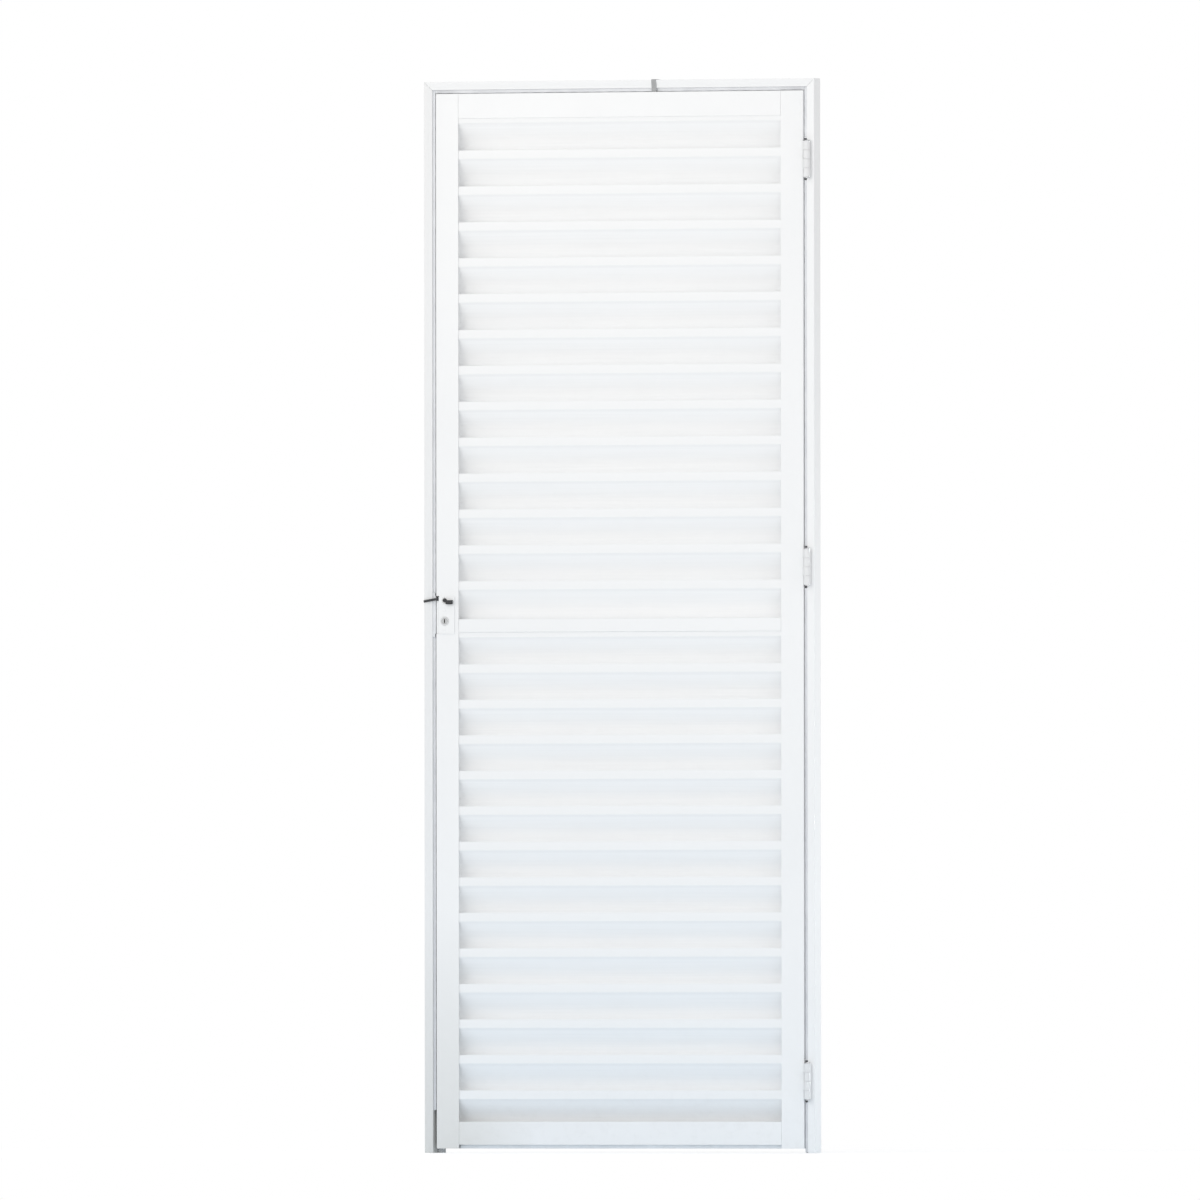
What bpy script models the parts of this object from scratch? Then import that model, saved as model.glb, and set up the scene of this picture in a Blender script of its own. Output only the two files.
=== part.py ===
"""Louvered aluminium swing door, hung on three hinges in its own three-sided frame.

Metres, +Z up. X runs across the doorway, with the hinges at +X. Y runs through it, and the leaf opens
towards -Y. The origin is at the middle of the frame's foot.
"""

import math

import bmesh
import bpy
from mathutils import Matrix, Vector

# Frame
FRAME_WIDTH = 0.800
FRAME_HEIGHT = 2.100
FRAME_FACE = 0.016
FRAME_WALL = 0.0016
FRAME_LIP_WIDTH = 0.010
FRAME_LIP_PROUD = 0.0035
FRAME_EDGE_RADIUS = 0.001
STOP_WALL = 0.002
STOP_PAST_SEAL = 0.003
SEAL_WIDTH = 0.0115
SEAL_DEPTH = 0.0044
SEAL_ROUND = 0.0016

# Leaf
LEAF_DEPTH = 0.031
LEAF_WALL = 0.0016
FLANGE_WALL = 0.0018
LEAF_EDGE_RADIUS = 0.0015
SIDE_GAP = 0.0075
HEAD_GAP = 0.0075
FLOOR_GAP = 0.0085
STILE_WIDTH = 0.046
TOP_RAIL_HEIGHT = 0.0485
MID_RAIL_TOP = 1.046
MID_RAIL_HEIGHT = 0.0255
BOTTOM_RAIL_HEIGHT = 0.045
SWEEP_HEIGHT = 0.0075
SWEEP_DEPTH = 0.012

# Slats
SLATS_PER_BANK = 14
SLAT_SHEET = 0.0013
SLAT_LIP = 0.0165
SLAT_REAR_LIP_SHOWN = 0.0185
SLAT_OVERLAP = 0.009
SLAT_FRONT_BEND = 0.003
SLAT_REAR_BEND = 0.042
SLAT_SEAT = 0.010
UPPER_LIP_TUCK = 0.0075
UPPER_LIP_DROP = -0.004
LOWER_LIP_TUCK = 0.0065
LOWER_LIP_DROP = 0.0085
TUCK_SPACE = 0.001
MID_RAIL_SLAT_SPACE = 0.0035

# Hinges
HINGE_HEIGHT = 0.070
HINGE_KNUCKLES = 4
HINGE_BARREL_RADIUS = 0.0065
HINGE_PIN_RADIUS = 0.003
HINGE_PIN_HEAD_RADIUS = 0.005
HINGE_PIN_HEAD = 0.0022
HINGE_PLATE_WIDTH = 0.022
HINGE_PLAY = 0.0018
HINGE_KNUCKLE_GAP = 0.0005
TOP_HINGE_DROP = 0.158
MIDDLE_HINGE_HEIGHT = 1.145
BOTTOM_HINGE_HEIGHT = 0.140

# Lock
SPINDLE_HEIGHT = 1.083
SPINDLE_SQUARE = 0.007
HUB_RADIUS = 0.0062
FINGER_HALF_WIDTH = 0.0015
FINGER_TIP_RADIUS = 0.0022
FOLLOWER_TURN = math.radians(28)
LATCH_TRAVEL = 0.0065
LATCH_HOLD = 0.004
LATCH_ABOVE_TIP = 0.0035
LATCH_BELOW_TIP = 0.010
LATCH_NOTCH_PLAY = 0.001
LATCH_TIP_SLOPE = 0.006
BOLT_DEPTH = 0.012
BOLT_END_WALL = 0.0025
LATCH_TO_CYLINDER = 0.0082
CYLINDER_RADIUS = 0.0085
CYLINDER_PROUD = 0.0025
PLUG_RADIUS = 0.006
KEYWAY_WIDTH = 0.0022
KEYWAY_HEIGHT = 0.008
KEYWAY_DEPTH = 0.009
CAM_WIDTH = 0.0064
KEY_TURN = math.radians(60)
DEAD_BOLT_THROW = 0.016
DEAD_BOLT_ABOVE_TIP = 0.005
DEAD_BOLT_BELOW_TIP = 0.0065
DEAD_BOLT_NOTCH_PLAY = 0.0016
LOCK_MARGIN = 0.0025
LOCK_PAST_SEAL = 0.0017
FACEPLATE_THICKNESS = 0.002
CASE_WALL = 0.0012
ESCUTCHEON_WIDTH = 0.032
ESCUTCHEON_THICKNESS = 0.0015
ESCUTCHEON_CORNER = 0.003
STRIKE_THICKNESS = 0.0015
STRIKE_DEPTH = 0.022
STRIKE_SLOT_PLAY = 0.001
SPRING_RADIUS = 0.00165
SPRING_WIRE = 0.0005
SPRING_TURNS = 12
SPRING_SEAT = 0.014

# Clearances
CLEARANCE = 0.0003
BORE_CLEARANCE = 0.00025
MITRE_GAP = 0.0002

# Drawing
ROUND_SEGMENTS = 24
ARC_STEPS = 3
COIL_POINTS = 8
WELD_DISTANCE = 1e-6
CUT_PAST = 0.002
SMOOTH_ANGLE = math.radians(35)

# Frame and leaf, worked out
FRAME_DEPTH = LEAF_DEPTH + SEAL_DEPTH + 2 * CLEARANCE + STOP_WALL
STOP_REACH = SEAL_WIDTH + CLEARANCE + STOP_PAST_SEAL
JAMB_INNER = FRAME_WIDTH / 2 - FRAME_FACE
HEAD_INNER = FRAME_HEIGHT - FRAME_FACE
LEAF_EDGE = JAMB_INNER - SIDE_GAP
LEAF_TOP = HEAD_INNER - HEAD_GAP
LEAF_BOTTOM = FLOOR_GAP
BANK_EDGE = LEAF_EDGE - STILE_WIDTH
STILE_BOX = STILE_WIDTH - SLAT_SEAT
TOP_RAIL_BOTTOM = LEAF_TOP - TOP_RAIL_HEIGHT
MID_RAIL_BOTTOM = MID_RAIL_TOP - MID_RAIL_HEIGHT
BOTTOM_RAIL_BOTTOM = LEAF_BOTTOM + SWEEP_HEIGHT
BOTTOM_RAIL_TOP = BOTTOM_RAIL_BOTTOM + BOTTOM_RAIL_HEIGHT

# Hinges, worked out: the two plates share the gap beside the leaf, and the barrel stands before it
HINGE_PLATE = (SIDE_GAP - 2 * CLEARANCE - HINGE_PLAY) / 2
HINGE_AXIS_FORWARD = HINGE_BARREL_RADIUS + CLEARANCE
HINGE_AXIS_X = JAMB_INNER - CLEARANCE - HINGE_PLATE - HINGE_PLAY / 2 + HINGE_BARREL_RADIUS
KNUCKLE = (HINGE_HEIGHT - (HINGE_KNUCKLES - 1) * HINGE_KNUCKLE_GAP) / HINGE_KNUCKLES

# The faces, with the depth of frame and hinge barrels centred on the origin
FRONT = -(FRAME_DEPTH - HINGE_AXIS_FORWARD - HINGE_BARREL_RADIUS) / 2
LEAF_BACK = FRONT + LEAF_DEPTH
LEAF_MIDDLE = FRONT + LEAF_DEPTH / 2
STOP_FRONT = FRONT + FRAME_DEPTH - STOP_WALL

# Slats, worked out
SLAT_FRONT = FRONT + FLANGE_WALL + CLEARANCE
SLAT_DEPTH = LEAF_DEPTH - 2 * (FLANGE_WALL + CLEARANCE)
SLAT_LENGTH = 2 * (BANK_EDGE + SLAT_SEAT - CLEARANCE)
TOP_RAIL_POCKET = UPPER_LIP_TUCK + TUCK_SPACE
MID_RAIL_POCKET = LOWER_LIP_TUCK + TUCK_SPACE
BOTTOM_RAIL_POCKET = LOWER_LIP_DROP + SLAT_OVERLAP + TUCK_SPACE
UPPER_FIRST_LIP = TOP_RAIL_BOTTOM + UPPER_LIP_TUCK
UPPER_PITCH = (UPPER_FIRST_LIP - MID_RAIL_TOP + UPPER_LIP_DROP) / SLATS_PER_BANK
LOWER_FIRST_LIP = MID_RAIL_BOTTOM + LOWER_LIP_TUCK
LOWER_PITCH = (LOWER_FIRST_LIP - BOTTOM_RAIL_TOP + LOWER_LIP_DROP) / SLATS_PER_BANK

# Lock, worked out from the leaf's lock edge inwards and from the spindle downwards
LOCK_RECESS = SEAL_WIDTH + CLEARANCE - SIDE_GAP + LOCK_PAST_SEAL
LOCK_FACE = -LEAF_EDGE + LOCK_RECESS
CASE_START = LOCK_FACE + FACEPLATE_THICKNESS + CLEARANCE
CASE_END = -LEAF_EDGE + STILE_BOX - LEAF_WALL - CLEARANCE
LOCK_AXIS_X = -LEAF_EDGE + STILE_BOX / 2
FOLLOWER_ARM = LATCH_TRAVEL / math.sin(FOLLOWER_TURN)
LATCH_TIP_HEIGHT = SPINDLE_HEIGHT - FOLLOWER_ARM
LATCH_TOP = LATCH_TIP_HEIGHT + LATCH_ABOVE_TIP
LATCH_BOTTOM = LATCH_TIP_HEIGHT - LATCH_BELOW_TIP
KEY_HEIGHT = LATCH_BOTTOM - LATCH_TO_CYLINDER - CYLINDER_RADIUS
CAM_ARM = DEAD_BOLT_THROW / (2 * math.sin(KEY_TURN / 2))
DEAD_BOLT_TIP_HEIGHT = KEY_HEIGHT - CAM_ARM
DEAD_BOLT_TOP = DEAD_BOLT_TIP_HEIGHT + DEAD_BOLT_ABOVE_TIP
DEAD_BOLT_BOTTOM = DEAD_BOLT_TIP_HEIGHT - DEAD_BOLT_BELOW_TIP
LOCK_TOP = SPINDLE_HEIGHT + HUB_RADIUS + LOCK_MARGIN
LOCK_BOTTOM = DEAD_BOLT_BOTTOM - LOCK_MARGIN
CASE_HALF_DEPTH = BOLT_DEPTH / 2 + CLEARANCE + CASE_WALL
STRIKE_FACE = -JAMB_INNER + CLEARANCE + STRIKE_THICKNESS
LATCH_TIP_X = STRIKE_FACE - LATCH_HOLD
SPRING_AXIS_Z = (LATCH_BOTTOM + LATCH_TIP_HEIGHT - FINGER_TIP_RADIUS - LATCH_NOTCH_PLAY) / 2
SPRING_BORE = SPRING_RADIUS + SPRING_WIRE / 2 + BORE_CLEARANCE


for leftover in list(bpy.data.objects):
    bpy.data.objects.remove(leftover)

PARTS = bpy.data.collections.new("louvered_door")
CUTTERS = bpy.data.collections.new("louvered_door_cutters")
CUTTERS.hide_render = True
bpy.context.scene.collection.children.link(PARTS)
bpy.context.scene.collection.children.link(CUTTERS)


def material(name, colour, roughness, metallic=0.0):
    made = bpy.data.materials.new(name)
    made.use_nodes = True
    shader = made.node_tree.nodes["Principled BSDF"]
    shader.inputs["Base Color"].default_value = (*colour, 1.0)
    shader.inputs["Roughness"].default_value = roughness
    shader.inputs["Metallic"].default_value = metallic
    return made


FRAME_COAT = material("frame_white_coat", (0.86, 0.87, 0.88), 0.38)
LEAF_COAT = material("leaf_white_coat", (0.87, 0.88, 0.89), 0.36)
SLAT_COAT = material("slat_white_coat", (0.87, 0.88, 0.89), 0.36)
HINGE_COAT = material("hinge_white_coat", (0.84, 0.85, 0.86), 0.42)
SEAL_RUBBER = material("seal_rubber", (0.52, 0.53, 0.55), 0.75)
SWEEP_RUBBER = material("sweep_rubber", (0.80, 0.81, 0.82), 0.75)
PIN_STEEL = material("pin_steel", (0.62, 0.63, 0.64), 0.35, 1.0)
LOCK_STEEL = material("lock_steel", (0.60, 0.60, 0.61), 0.38, 1.0)
CYLINDER_BRASS = material("cylinder_brass", (0.80, 0.78, 0.72), 0.32, 1.0)


# How an outline's u and v, and the direction it is drawn out in, lie in the world
AXES = {
    "X": Matrix(((0, 0, 1), (1, 0, 0), (0, 1, 0))),
    "Y": Matrix(((1, 0, 0), (0, 0, -1), (0, 1, 0))),
    "Z": Matrix(((1, 0, 0), (0, 1, 0), (0, 0, 1))),
}


def corner_arc(before, corner, after, radius):
    """The points of an arc that rounds one corner."""
    to_before = (before - corner).normalized()
    to_after = (after - corner).normalized()
    half = to_before.angle(to_after) / 2
    centre = corner + (to_before + to_after).normalized() * (radius / math.sin(half))
    start = corner + to_before * (radius / math.tan(half)) - centre
    end = corner + to_after * (radius / math.tan(half)) - centre
    turn = math.atan2(start.x * end.y - start.y * end.x, start.dot(end))
    points = []
    for step in range(ARC_STEPS + 1):
        angle = turn * step / ARC_STEPS
        points.append(centre + Matrix.Rotation(angle, 2) @ start)
    return points


def rounded_loop(corners):
    """A closed outline from corners (u, v) or (u, v, radius)."""
    places = [Vector(corner[:2]) for corner in corners]
    points = []
    for index, corner in enumerate(corners):
        if len(corner) == 2:
            points.append(places[index])
            continue
        after = places[(index + 1) % len(corners)]
        points += corner_arc(places[index - 1], places[index], after, corner[2])
    return points


def rectangle(low, high, radius=None):
    corners = [(low[0], low[1]), (high[0], low[1]), (high[0], high[1]), (low[0], high[1])]
    if radius:
        corners = [(u, v, radius) for u, v in corners]
    return rounded_loop(corners)


def circle(centre, radius):
    points = []
    for step in range(ROUND_SEGMENTS):
        angle = 2 * math.pi * step / ROUND_SEGMENTS
        points.append(Vector(centre) + Vector((math.cos(angle), math.sin(angle))) * radius)
    return points


def sheet_outline(path, thickness):
    """The closed outline of a bent sheet whose middle line is path."""
    near = []
    far = []
    for index, point in enumerate(path):
        ahead = (path[min(index + 1, len(path) - 1)] - point).normalized()
        behind = (point - path[max(index - 1, 0)]).normalized()
        along = (ahead + behind).normalized()
        straightness = max(along.dot(ahead), along.dot(behind))
        aside = Vector((-along.y, along.x)) * (thickness / 2 / straightness)
        near.append(point + aside)
        far.append(point - aside)
    return near + far[::-1]


def weld(mesh):
    """Joins the caps of a filled outline to its sides, with all faces outwards."""
    work = bmesh.new()
    work.from_mesh(mesh)
    bmesh.ops.remove_doubles(work, verts=work.verts, dist=WELD_DISTANCE)
    bmesh.ops.recalc_face_normals(work, faces=work.faces)
    work.to_mesh(mesh)
    work.free()


def smooth(mesh):
    mesh.shade_smooth()
    mesh.set_sharp_from_angle(angle=SMOOTH_ANGLE)
    return mesh


def evaluated_mesh(thing, name):
    bpy.context.view_layer.update()
    graph = bpy.context.evaluated_depsgraph_get()
    mesh = bpy.data.meshes.new_from_object(thing.evaluated_get(graph))
    mesh.name = name
    return mesh


def extruded(name, loops, length, along):
    """A mesh of closed loops drawn out along one axis, half the length to each side of the origin."""
    curve = bpy.data.curves.new(name, "CURVE")
    curve.dimensions = "2D"
    curve.fill_mode = "BOTH"
    curve.extrude = length / 2
    for loop in loops:
        spline = curve.splines.new("POLY")
        spline.points.add(len(loop) - 1)
        spline.use_cyclic_u = True
        for point, place in zip(spline.points, loop):
            point.co = (place[0], place[1], 0.0, 1.0)
    guide = bpy.data.objects.new(name, curve)
    bpy.context.scene.collection.objects.link(guide)
    mesh = evaluated_mesh(guide, name)
    bpy.data.objects.remove(guide)
    bpy.data.curves.remove(curve)
    weld(mesh)
    mesh.transform(AXES[along].to_4x4())
    return smooth(mesh)


def box(name, low, high):
    """A box mesh between two corners."""
    low = Vector(low)
    high = Vector(high)
    work = bmesh.new()
    placed = Matrix.Translation((low + high) / 2) @ Matrix.Diagonal((*(high - low), 1.0))
    bmesh.ops.create_cube(work, size=1.0, matrix=placed)
    mesh = bpy.data.meshes.new(name)
    work.to_mesh(mesh)
    work.free()
    return mesh


def cylinder(name, radius, length, along):
    """A round bar mesh, centred on the origin."""
    return extruded(name, [circle((0, 0), radius)], length, along)


def turned(name, profile):
    """A shape turned round Z, from points (radius, height) that run down its outer side."""
    line = bpy.data.meshes.new(name + "_profile")
    edges = [(index, index + 1) for index in range(len(profile) - 1)]
    line.from_pydata([(radius, 0.0, height) for radius, height in profile], edges, [])
    guide = bpy.data.objects.new(name + "_profile", line)
    bpy.context.scene.collection.objects.link(guide)
    screw = guide.modifiers.new("turn", "SCREW")
    screw.steps = ROUND_SEGMENTS
    screw.render_steps = ROUND_SEGMENTS
    screw.use_merge_vertices = True
    screw.merge_threshold = WELD_DISTANCE
    mesh = evaluated_mesh(guide, name)
    bpy.data.objects.remove(guide)
    weld(mesh)
    return smooth(mesh)


def combined(name, pieces, cutters=()):
    """One mesh: pieces that overlap, joined, less the cutters."""
    base = bpy.data.objects.new(name, pieces[0])
    helpers = [base]
    bpy.context.scene.collection.objects.link(base)
    for operation, meshes in (("UNION", pieces[1:]), ("DIFFERENCE", cutters)):
        for mesh in meshes:
            helper = bpy.data.objects.new(name + "_helper", mesh)
            bpy.context.scene.collection.objects.link(helper)
            helpers.append(helper)
            modifier = base.modifiers.new(operation, "BOOLEAN")
            modifier.operation = operation
            modifier.solver = "EXACT"
            modifier.object = helper
    mesh = evaluated_mesh(base, name)
    for helper in helpers:
        bpy.data.objects.remove(helper)
    return smooth(mesh)


def moved(mesh, offset):
    mesh.transform(Matrix.Translation(offset))
    return mesh


def part(name, mesh, coat, location, carrier):
    """Places one piece of the door, carried by a pivot or by the frame's own reference point."""
    piece = bpy.data.objects.new(name, mesh)
    if not mesh.materials:
        mesh.materials.append(coat)
    piece.location = location
    piece.parent = carrier
    piece.matrix_parent_inverse = Matrix.Translation(-carrier.location)
    PARTS.objects.link(piece)
    return piece


def pivot(name, location):
    empty = bpy.data.objects.new(name, None)
    empty.location = location
    PARTS.objects.link(empty)
    return empty


def cut(piece, name, mesh, location=(0.0, 0.0, 0.0)):
    """Takes the shape of a cutter out of a piece."""
    cutter = bpy.data.objects.new(name, mesh)
    cutter.location = location
    cutter.hide_render = True
    cutter.display_type = "WIRE"
    CUTTERS.objects.link(cutter)
    modifier = piece.modifiers.new(name, "BOOLEAN")
    modifier.operation = "DIFFERENCE"
    modifier.solver = "EXACT"
    modifier.object = cutter


FRAME_FOOT = pivot("frame_foot", Vector((0.0, 0.0, 0.0)))
LEAF_PIVOT = pivot("leaf_pivot", Vector((HINGE_AXIS_X, FRONT - HINGE_AXIS_FORWARD, 0.0)))


# Frame: one profile on three sides, mitred at the head

def frame_profile(side):
    """The frame's section: u inwards from its outer side, times side, and v back from the leaf's face.

    The outer edge stands proud of the leaf's face, and slopes back to it.
    """
    width = FRAME_LIP_WIDTH
    proud = FRAME_LIP_PROUD
    slope = math.hypot(width, proud)
    outer = [
        (0.0, -proud, FRAME_EDGE_RADIUS),
        (width, 0.0),
        (FRAME_FACE, 0.0, FRAME_EDGE_RADIUS),
        (FRAME_FACE, FRAME_DEPTH - STOP_WALL),
        (FRAME_FACE + STOP_REACH, FRAME_DEPTH - STOP_WALL),
        (FRAME_FACE + STOP_REACH, FRAME_DEPTH),
        (0.0, FRAME_DEPTH),
    ]
    hollow = [
        (FRAME_WALL, FRAME_WALL * (slope + proud) / width - proud),
        (width - FRAME_WALL * (slope - width) / proud, FRAME_WALL),
        (FRAME_FACE - FRAME_WALL, FRAME_WALL),
        (FRAME_FACE - FRAME_WALL, FRAME_DEPTH - FRAME_WALL),
        (FRAME_WALL, FRAME_DEPTH - FRAME_WALL),
    ]
    loops = []
    for loop in (rounded_loop(outer), rounded_loop(hollow)):
        loops.append([Vector((side * u, v)) for u, v in loop])
    return loops


def mitre(mesh, along, inwards, ends):
    """Slopes the given ends of a centred extrusion by 45 degrees, from its outer side inwards."""
    for vertex in mesh.vertices:
        end = 1 if vertex.co[along] > 0 else -1
        if end in ends:
            vertex.co[along] -= end * (abs(vertex.co[inwards]) + MITRE_GAP)
    return mesh


def build_jamb(name, side):
    """One upright, at the side of the doorway that the sign gives."""
    mesh = extruded(name, frame_profile(-side), FRAME_HEIGHT, "Z")
    mitre(mesh, along=2, inwards=0, ends=(1,))
    return part(name, mesh, FRAME_COAT, (side * FRAME_WIDTH / 2, FRONT, FRAME_HEIGHT / 2), FRAME_FOOT)


def build_head():
    loops = []
    for loop in frame_profile(1):
        loops.append([Vector((v, -u)) for u, v in loop])
    mesh = extruded("head_jamb", loops, FRAME_WIDTH, "X")
    mitre(mesh, along=0, inwards=2, ends=(-1, 1))
    part("head_jamb", mesh, FRAME_COAT, (0.0, FRONT, FRAME_HEIGHT), FRAME_FOOT)


def seal_outline(side):
    """A seal's section: u inwards from the jamb, times side, and v back from the leaf."""
    corners = [
        (0.0, 0.0, SEAL_ROUND),
        (SEAL_WIDTH, 0.0, SEAL_ROUND),
        (SEAL_WIDTH, SEAL_DEPTH),
        (0.0, SEAL_DEPTH),
    ]
    return [Vector((side * u, v)) for u, v in rounded_loop(corners)]


def build_seals():
    back = LEAF_BACK + CLEARANCE
    top = HEAD_INNER - CLEARANCE
    for name, side in (("lock_side_seal", -1), ("hinge_side_seal", 1)):
        mesh = extruded(name, [seal_outline(-side)], top - CLEARANCE, "Z")
        part(name, mesh, SEAL_RUBBER, (side * (JAMB_INNER - CLEARANCE), back, top / 2), FRAME_FOOT)
    between = 2 * (JAMB_INNER - 2 * CLEARANCE - SEAL_WIDTH)
    loop = [Vector((v, -u)) for u, v in seal_outline(1)]
    mesh = extruded("head_seal", [loop], between, "X")
    part("head_seal", mesh, SEAL_RUBBER, (0.0, back, top), FRAME_FOOT)


# Leaf: hollow stiles that hold the slats' ends, and rails between them

def stile_profile(side):
    """A stile's section: u inwards from the leaf's edge, times side, and v back from its face."""
    outer = [
        (0.0, 0.0, LEAF_EDGE_RADIUS),
        (STILE_WIDTH, 0.0),
        (STILE_WIDTH, FLANGE_WALL),
        (STILE_BOX, FLANGE_WALL),
        (STILE_BOX, LEAF_DEPTH - FLANGE_WALL),
        (STILE_WIDTH, LEAF_DEPTH - FLANGE_WALL),
        (STILE_WIDTH, LEAF_DEPTH),
        (0.0, LEAF_DEPTH, LEAF_EDGE_RADIUS),
    ]
    hollow = rectangle((LEAF_WALL, LEAF_WALL), (STILE_BOX - LEAF_WALL, LEAF_DEPTH - LEAF_WALL))
    loops = []
    for loop in (rounded_loop(outer), hollow):
        loops.append([Vector((side * u, v)) for u, v in loop])
    return loops


def build_stile(name, side):
    """One upright of the leaf, at the side that the sign gives."""
    height = LEAF_TOP - LEAF_BOTTOM
    mesh = extruded(name, stile_profile(-side), height, "Z")
    place = (side * LEAF_EDGE, FRONT, LEAF_BOTTOM + height / 2)
    return part(name, mesh, LEAF_COAT, place, LEAF_PIVOT)


def build_end_rail(name, bottom, height, pocket, opens):
    """A box rail whose two flanges run on past the box, up or down, and hide a slat's edge."""
    foot = -height / 2
    head = height / 2
    floor = foot + pocket if opens < 0 else head - pocket
    edge = foot if opens < 0 else head
    far = head if opens < 0 else foot
    back = LEAF_DEPTH
    outer = [
        (0.0, far),
        (0.0, edge),
        (FLANGE_WALL, edge),
        (FLANGE_WALL, floor),
        (back - FLANGE_WALL, floor),
        (back - FLANGE_WALL, edge),
        (back, edge),
        (back, far),
    ]
    low = min(far, floor) + LEAF_WALL
    high = max(far, floor) - LEAF_WALL
    hollow = rectangle((LEAF_WALL, low), (back - LEAF_WALL, high))
    length = 2 * (BANK_EDGE - CLEARANCE)
    mesh = extruded(name, [rounded_loop(outer), hollow], length, "X")
    part(name, mesh, LEAF_COAT, (0.0, FRONT, bottom + height / 2), LEAF_PIVOT)


def build_mid_rail():
    """The rail between the banks: a box before the last upper slat, with a lip over the lower bank."""
    back = SLAT_FRONT - FRONT + SLAT_DEPTH - SLAT_SHEET - MID_RAIL_SLAT_SPACE
    floor = MID_RAIL_POCKET
    outer = [
        (0.0, 0.0),
        (FLANGE_WALL, 0.0),
        (FLANGE_WALL, floor),
        (back, floor),
        (back, MID_RAIL_HEIGHT),
        (0.0, MID_RAIL_HEIGHT),
    ]
    hollow = rectangle((LEAF_WALL, floor + LEAF_WALL), (back - LEAF_WALL, MID_RAIL_HEIGHT - LEAF_WALL))
    length = 2 * (BANK_EDGE - CLEARANCE)
    mesh = extruded("mid_rail", [rounded_loop(outer), hollow], length, "X")
    part("mid_rail", mesh, LEAF_COAT, (0.0, FRONT, MID_RAIL_BOTTOM), LEAF_PIVOT)


def build_sweep():
    low = (-SWEEP_DEPTH / 2, 0.0)
    high = (SWEEP_DEPTH / 2, SWEEP_HEIGHT - CLEARANCE)
    mesh = extruded("bottom_sweep", [rectangle(low, high)], 2 * (BANK_EDGE - CLEARANCE), "X")
    part("bottom_sweep", mesh, SWEEP_RUBBER, (0.0, LEAF_MIDDLE, LEAF_BOTTOM), LEAF_PIVOT)


def slat_mesh(name, pitch):
    """A slat: a lip before, a web that slopes down and back, and a lip behind the next slat in a wide bend."""
    near = SLAT_SHEET / 2
    far = SLAT_DEPTH - SLAT_SHEET / 2
    corners = [
        Vector((near, 0.0)),
        Vector((near, -SLAT_LIP)),
        Vector((far, SLAT_REAR_LIP_SHOWN - pitch)),
        Vector((far, -pitch - SLAT_OVERLAP)),
    ]
    path = [corners[0]]
    for index, radius in ((1, SLAT_FRONT_BEND), (2, SLAT_REAR_BEND)):
        path += corner_arc(corners[index - 1], corners[index], corners[index + 1], radius)
    path.append(corners[3])
    return extruded(name, [sheet_outline(path, SLAT_SHEET)], SLAT_LENGTH, "X")


def build_bank(name, first_lip, pitch):
    mesh = slat_mesh(name, pitch)
    for number in range(SLATS_PER_BANK):
        place = (0.0, SLAT_FRONT, first_lip - number * pitch)
        part(f"{name}_{number + 1:02d}", mesh, SLAT_COAT, place, LEAF_PIVOT)


# Hinges: knuckles of the two plates take turns on one pin

def knuckle_bottom(number):
    return -HINGE_HEIGHT / 2 + number * (KNUCKLE + HINGE_KNUCKLE_GAP)


def hinge_plate_mesh(name, plate_x, strap_end, first):
    """A hinge plate with every second knuckle, about the hinge's axis."""
    back = HINGE_AXIS_FORWARD
    pieces = [
        box(
            name,
            (plate_x, back, -HINGE_HEIGHT / 2),
            (plate_x + HINGE_PLATE, back + HINGE_PLATE_WIDTH, HINGE_HEIGHT / 2),
        )
    ]
    for number in range(first, HINGE_KNUCKLES, 2):
        low = knuckle_bottom(number)
        high = low + KNUCKLE
        pieces.append(
            box(
                name + "_strap",
                (plate_x, -HINGE_PIN_RADIUS, low),
                (plate_x + HINGE_PLATE, back + HINGE_PLATE_WIDTH / 2, high),
            )
        )
        bridge_half = HINGE_PIN_RADIUS - HINGE_PLATE / 4
        pieces.append(
            box(name + "_bridge", (plate_x, -bridge_half, low), (strap_end, bridge_half, high))
        )
        barrel = cylinder(name + "_knuckle", HINGE_BARREL_RADIUS, KNUCKLE, "Z")
        pieces.append(moved(barrel, (0.0, 0.0, (low + high) / 2)))
    bore = cylinder(name + "_bore", HINGE_PIN_RADIUS + BORE_CLEARANCE, HINGE_HEIGHT + 2 * CUT_PAST, "Z")
    return combined(name, pieces, [bore])


def pin_mesh():
    end = HINGE_HEIGHT / 2 + CLEARANCE
    head = end + HINGE_PIN_HEAD
    crown = HINGE_PIN_HEAD_RADIUS * 0.7
    profile = [
        (0.0, head),
        (crown, head),
        (HINGE_PIN_HEAD_RADIUS, head - HINGE_PIN_HEAD / 2),
        (HINGE_PIN_HEAD_RADIUS, end),
        (HINGE_PIN_RADIUS, end),
    ]
    mirrored = [(radius, -height) for radius, height in reversed(profile)]
    return turned("hinge_pin", profile + mirrored)


def build_hinges():
    frame_plate_x = JAMB_INNER - CLEARANCE - HINGE_PLATE - HINGE_AXIS_X
    door_plate_x = LEAF_EDGE + CLEARANCE - HINGE_AXIS_X
    into_barrel = -HINGE_PIN_RADIUS - BORE_CLEARANCE - CLEARANCE
    frame_plate = hinge_plate_mesh("hinge_frame_plate", frame_plate_x, into_barrel, 0)
    door_plate = hinge_plate_mesh("hinge_door_plate", door_plate_x, into_barrel, 1)
    pin = pin_mesh()
    heights = {
        "top": FRAME_HEIGHT - TOP_HINGE_DROP,
        "middle": MIDDLE_HINGE_HEIGHT,
        "bottom": BOTTOM_HINGE_HEIGHT,
    }
    for name, height in heights.items():
        place = (HINGE_AXIS_X, FRONT - HINGE_AXIS_FORWARD, height)
        part(f"{name}_hinge_frame_plate", frame_plate, HINGE_COAT, place, FRAME_FOOT)
        part(f"{name}_hinge_door_plate", door_plate, HINGE_COAT, place, LEAF_PIVOT)
        part(f"{name}_hinge_pin", pin, PIN_STEEL, place, FRAME_FOOT)


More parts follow.
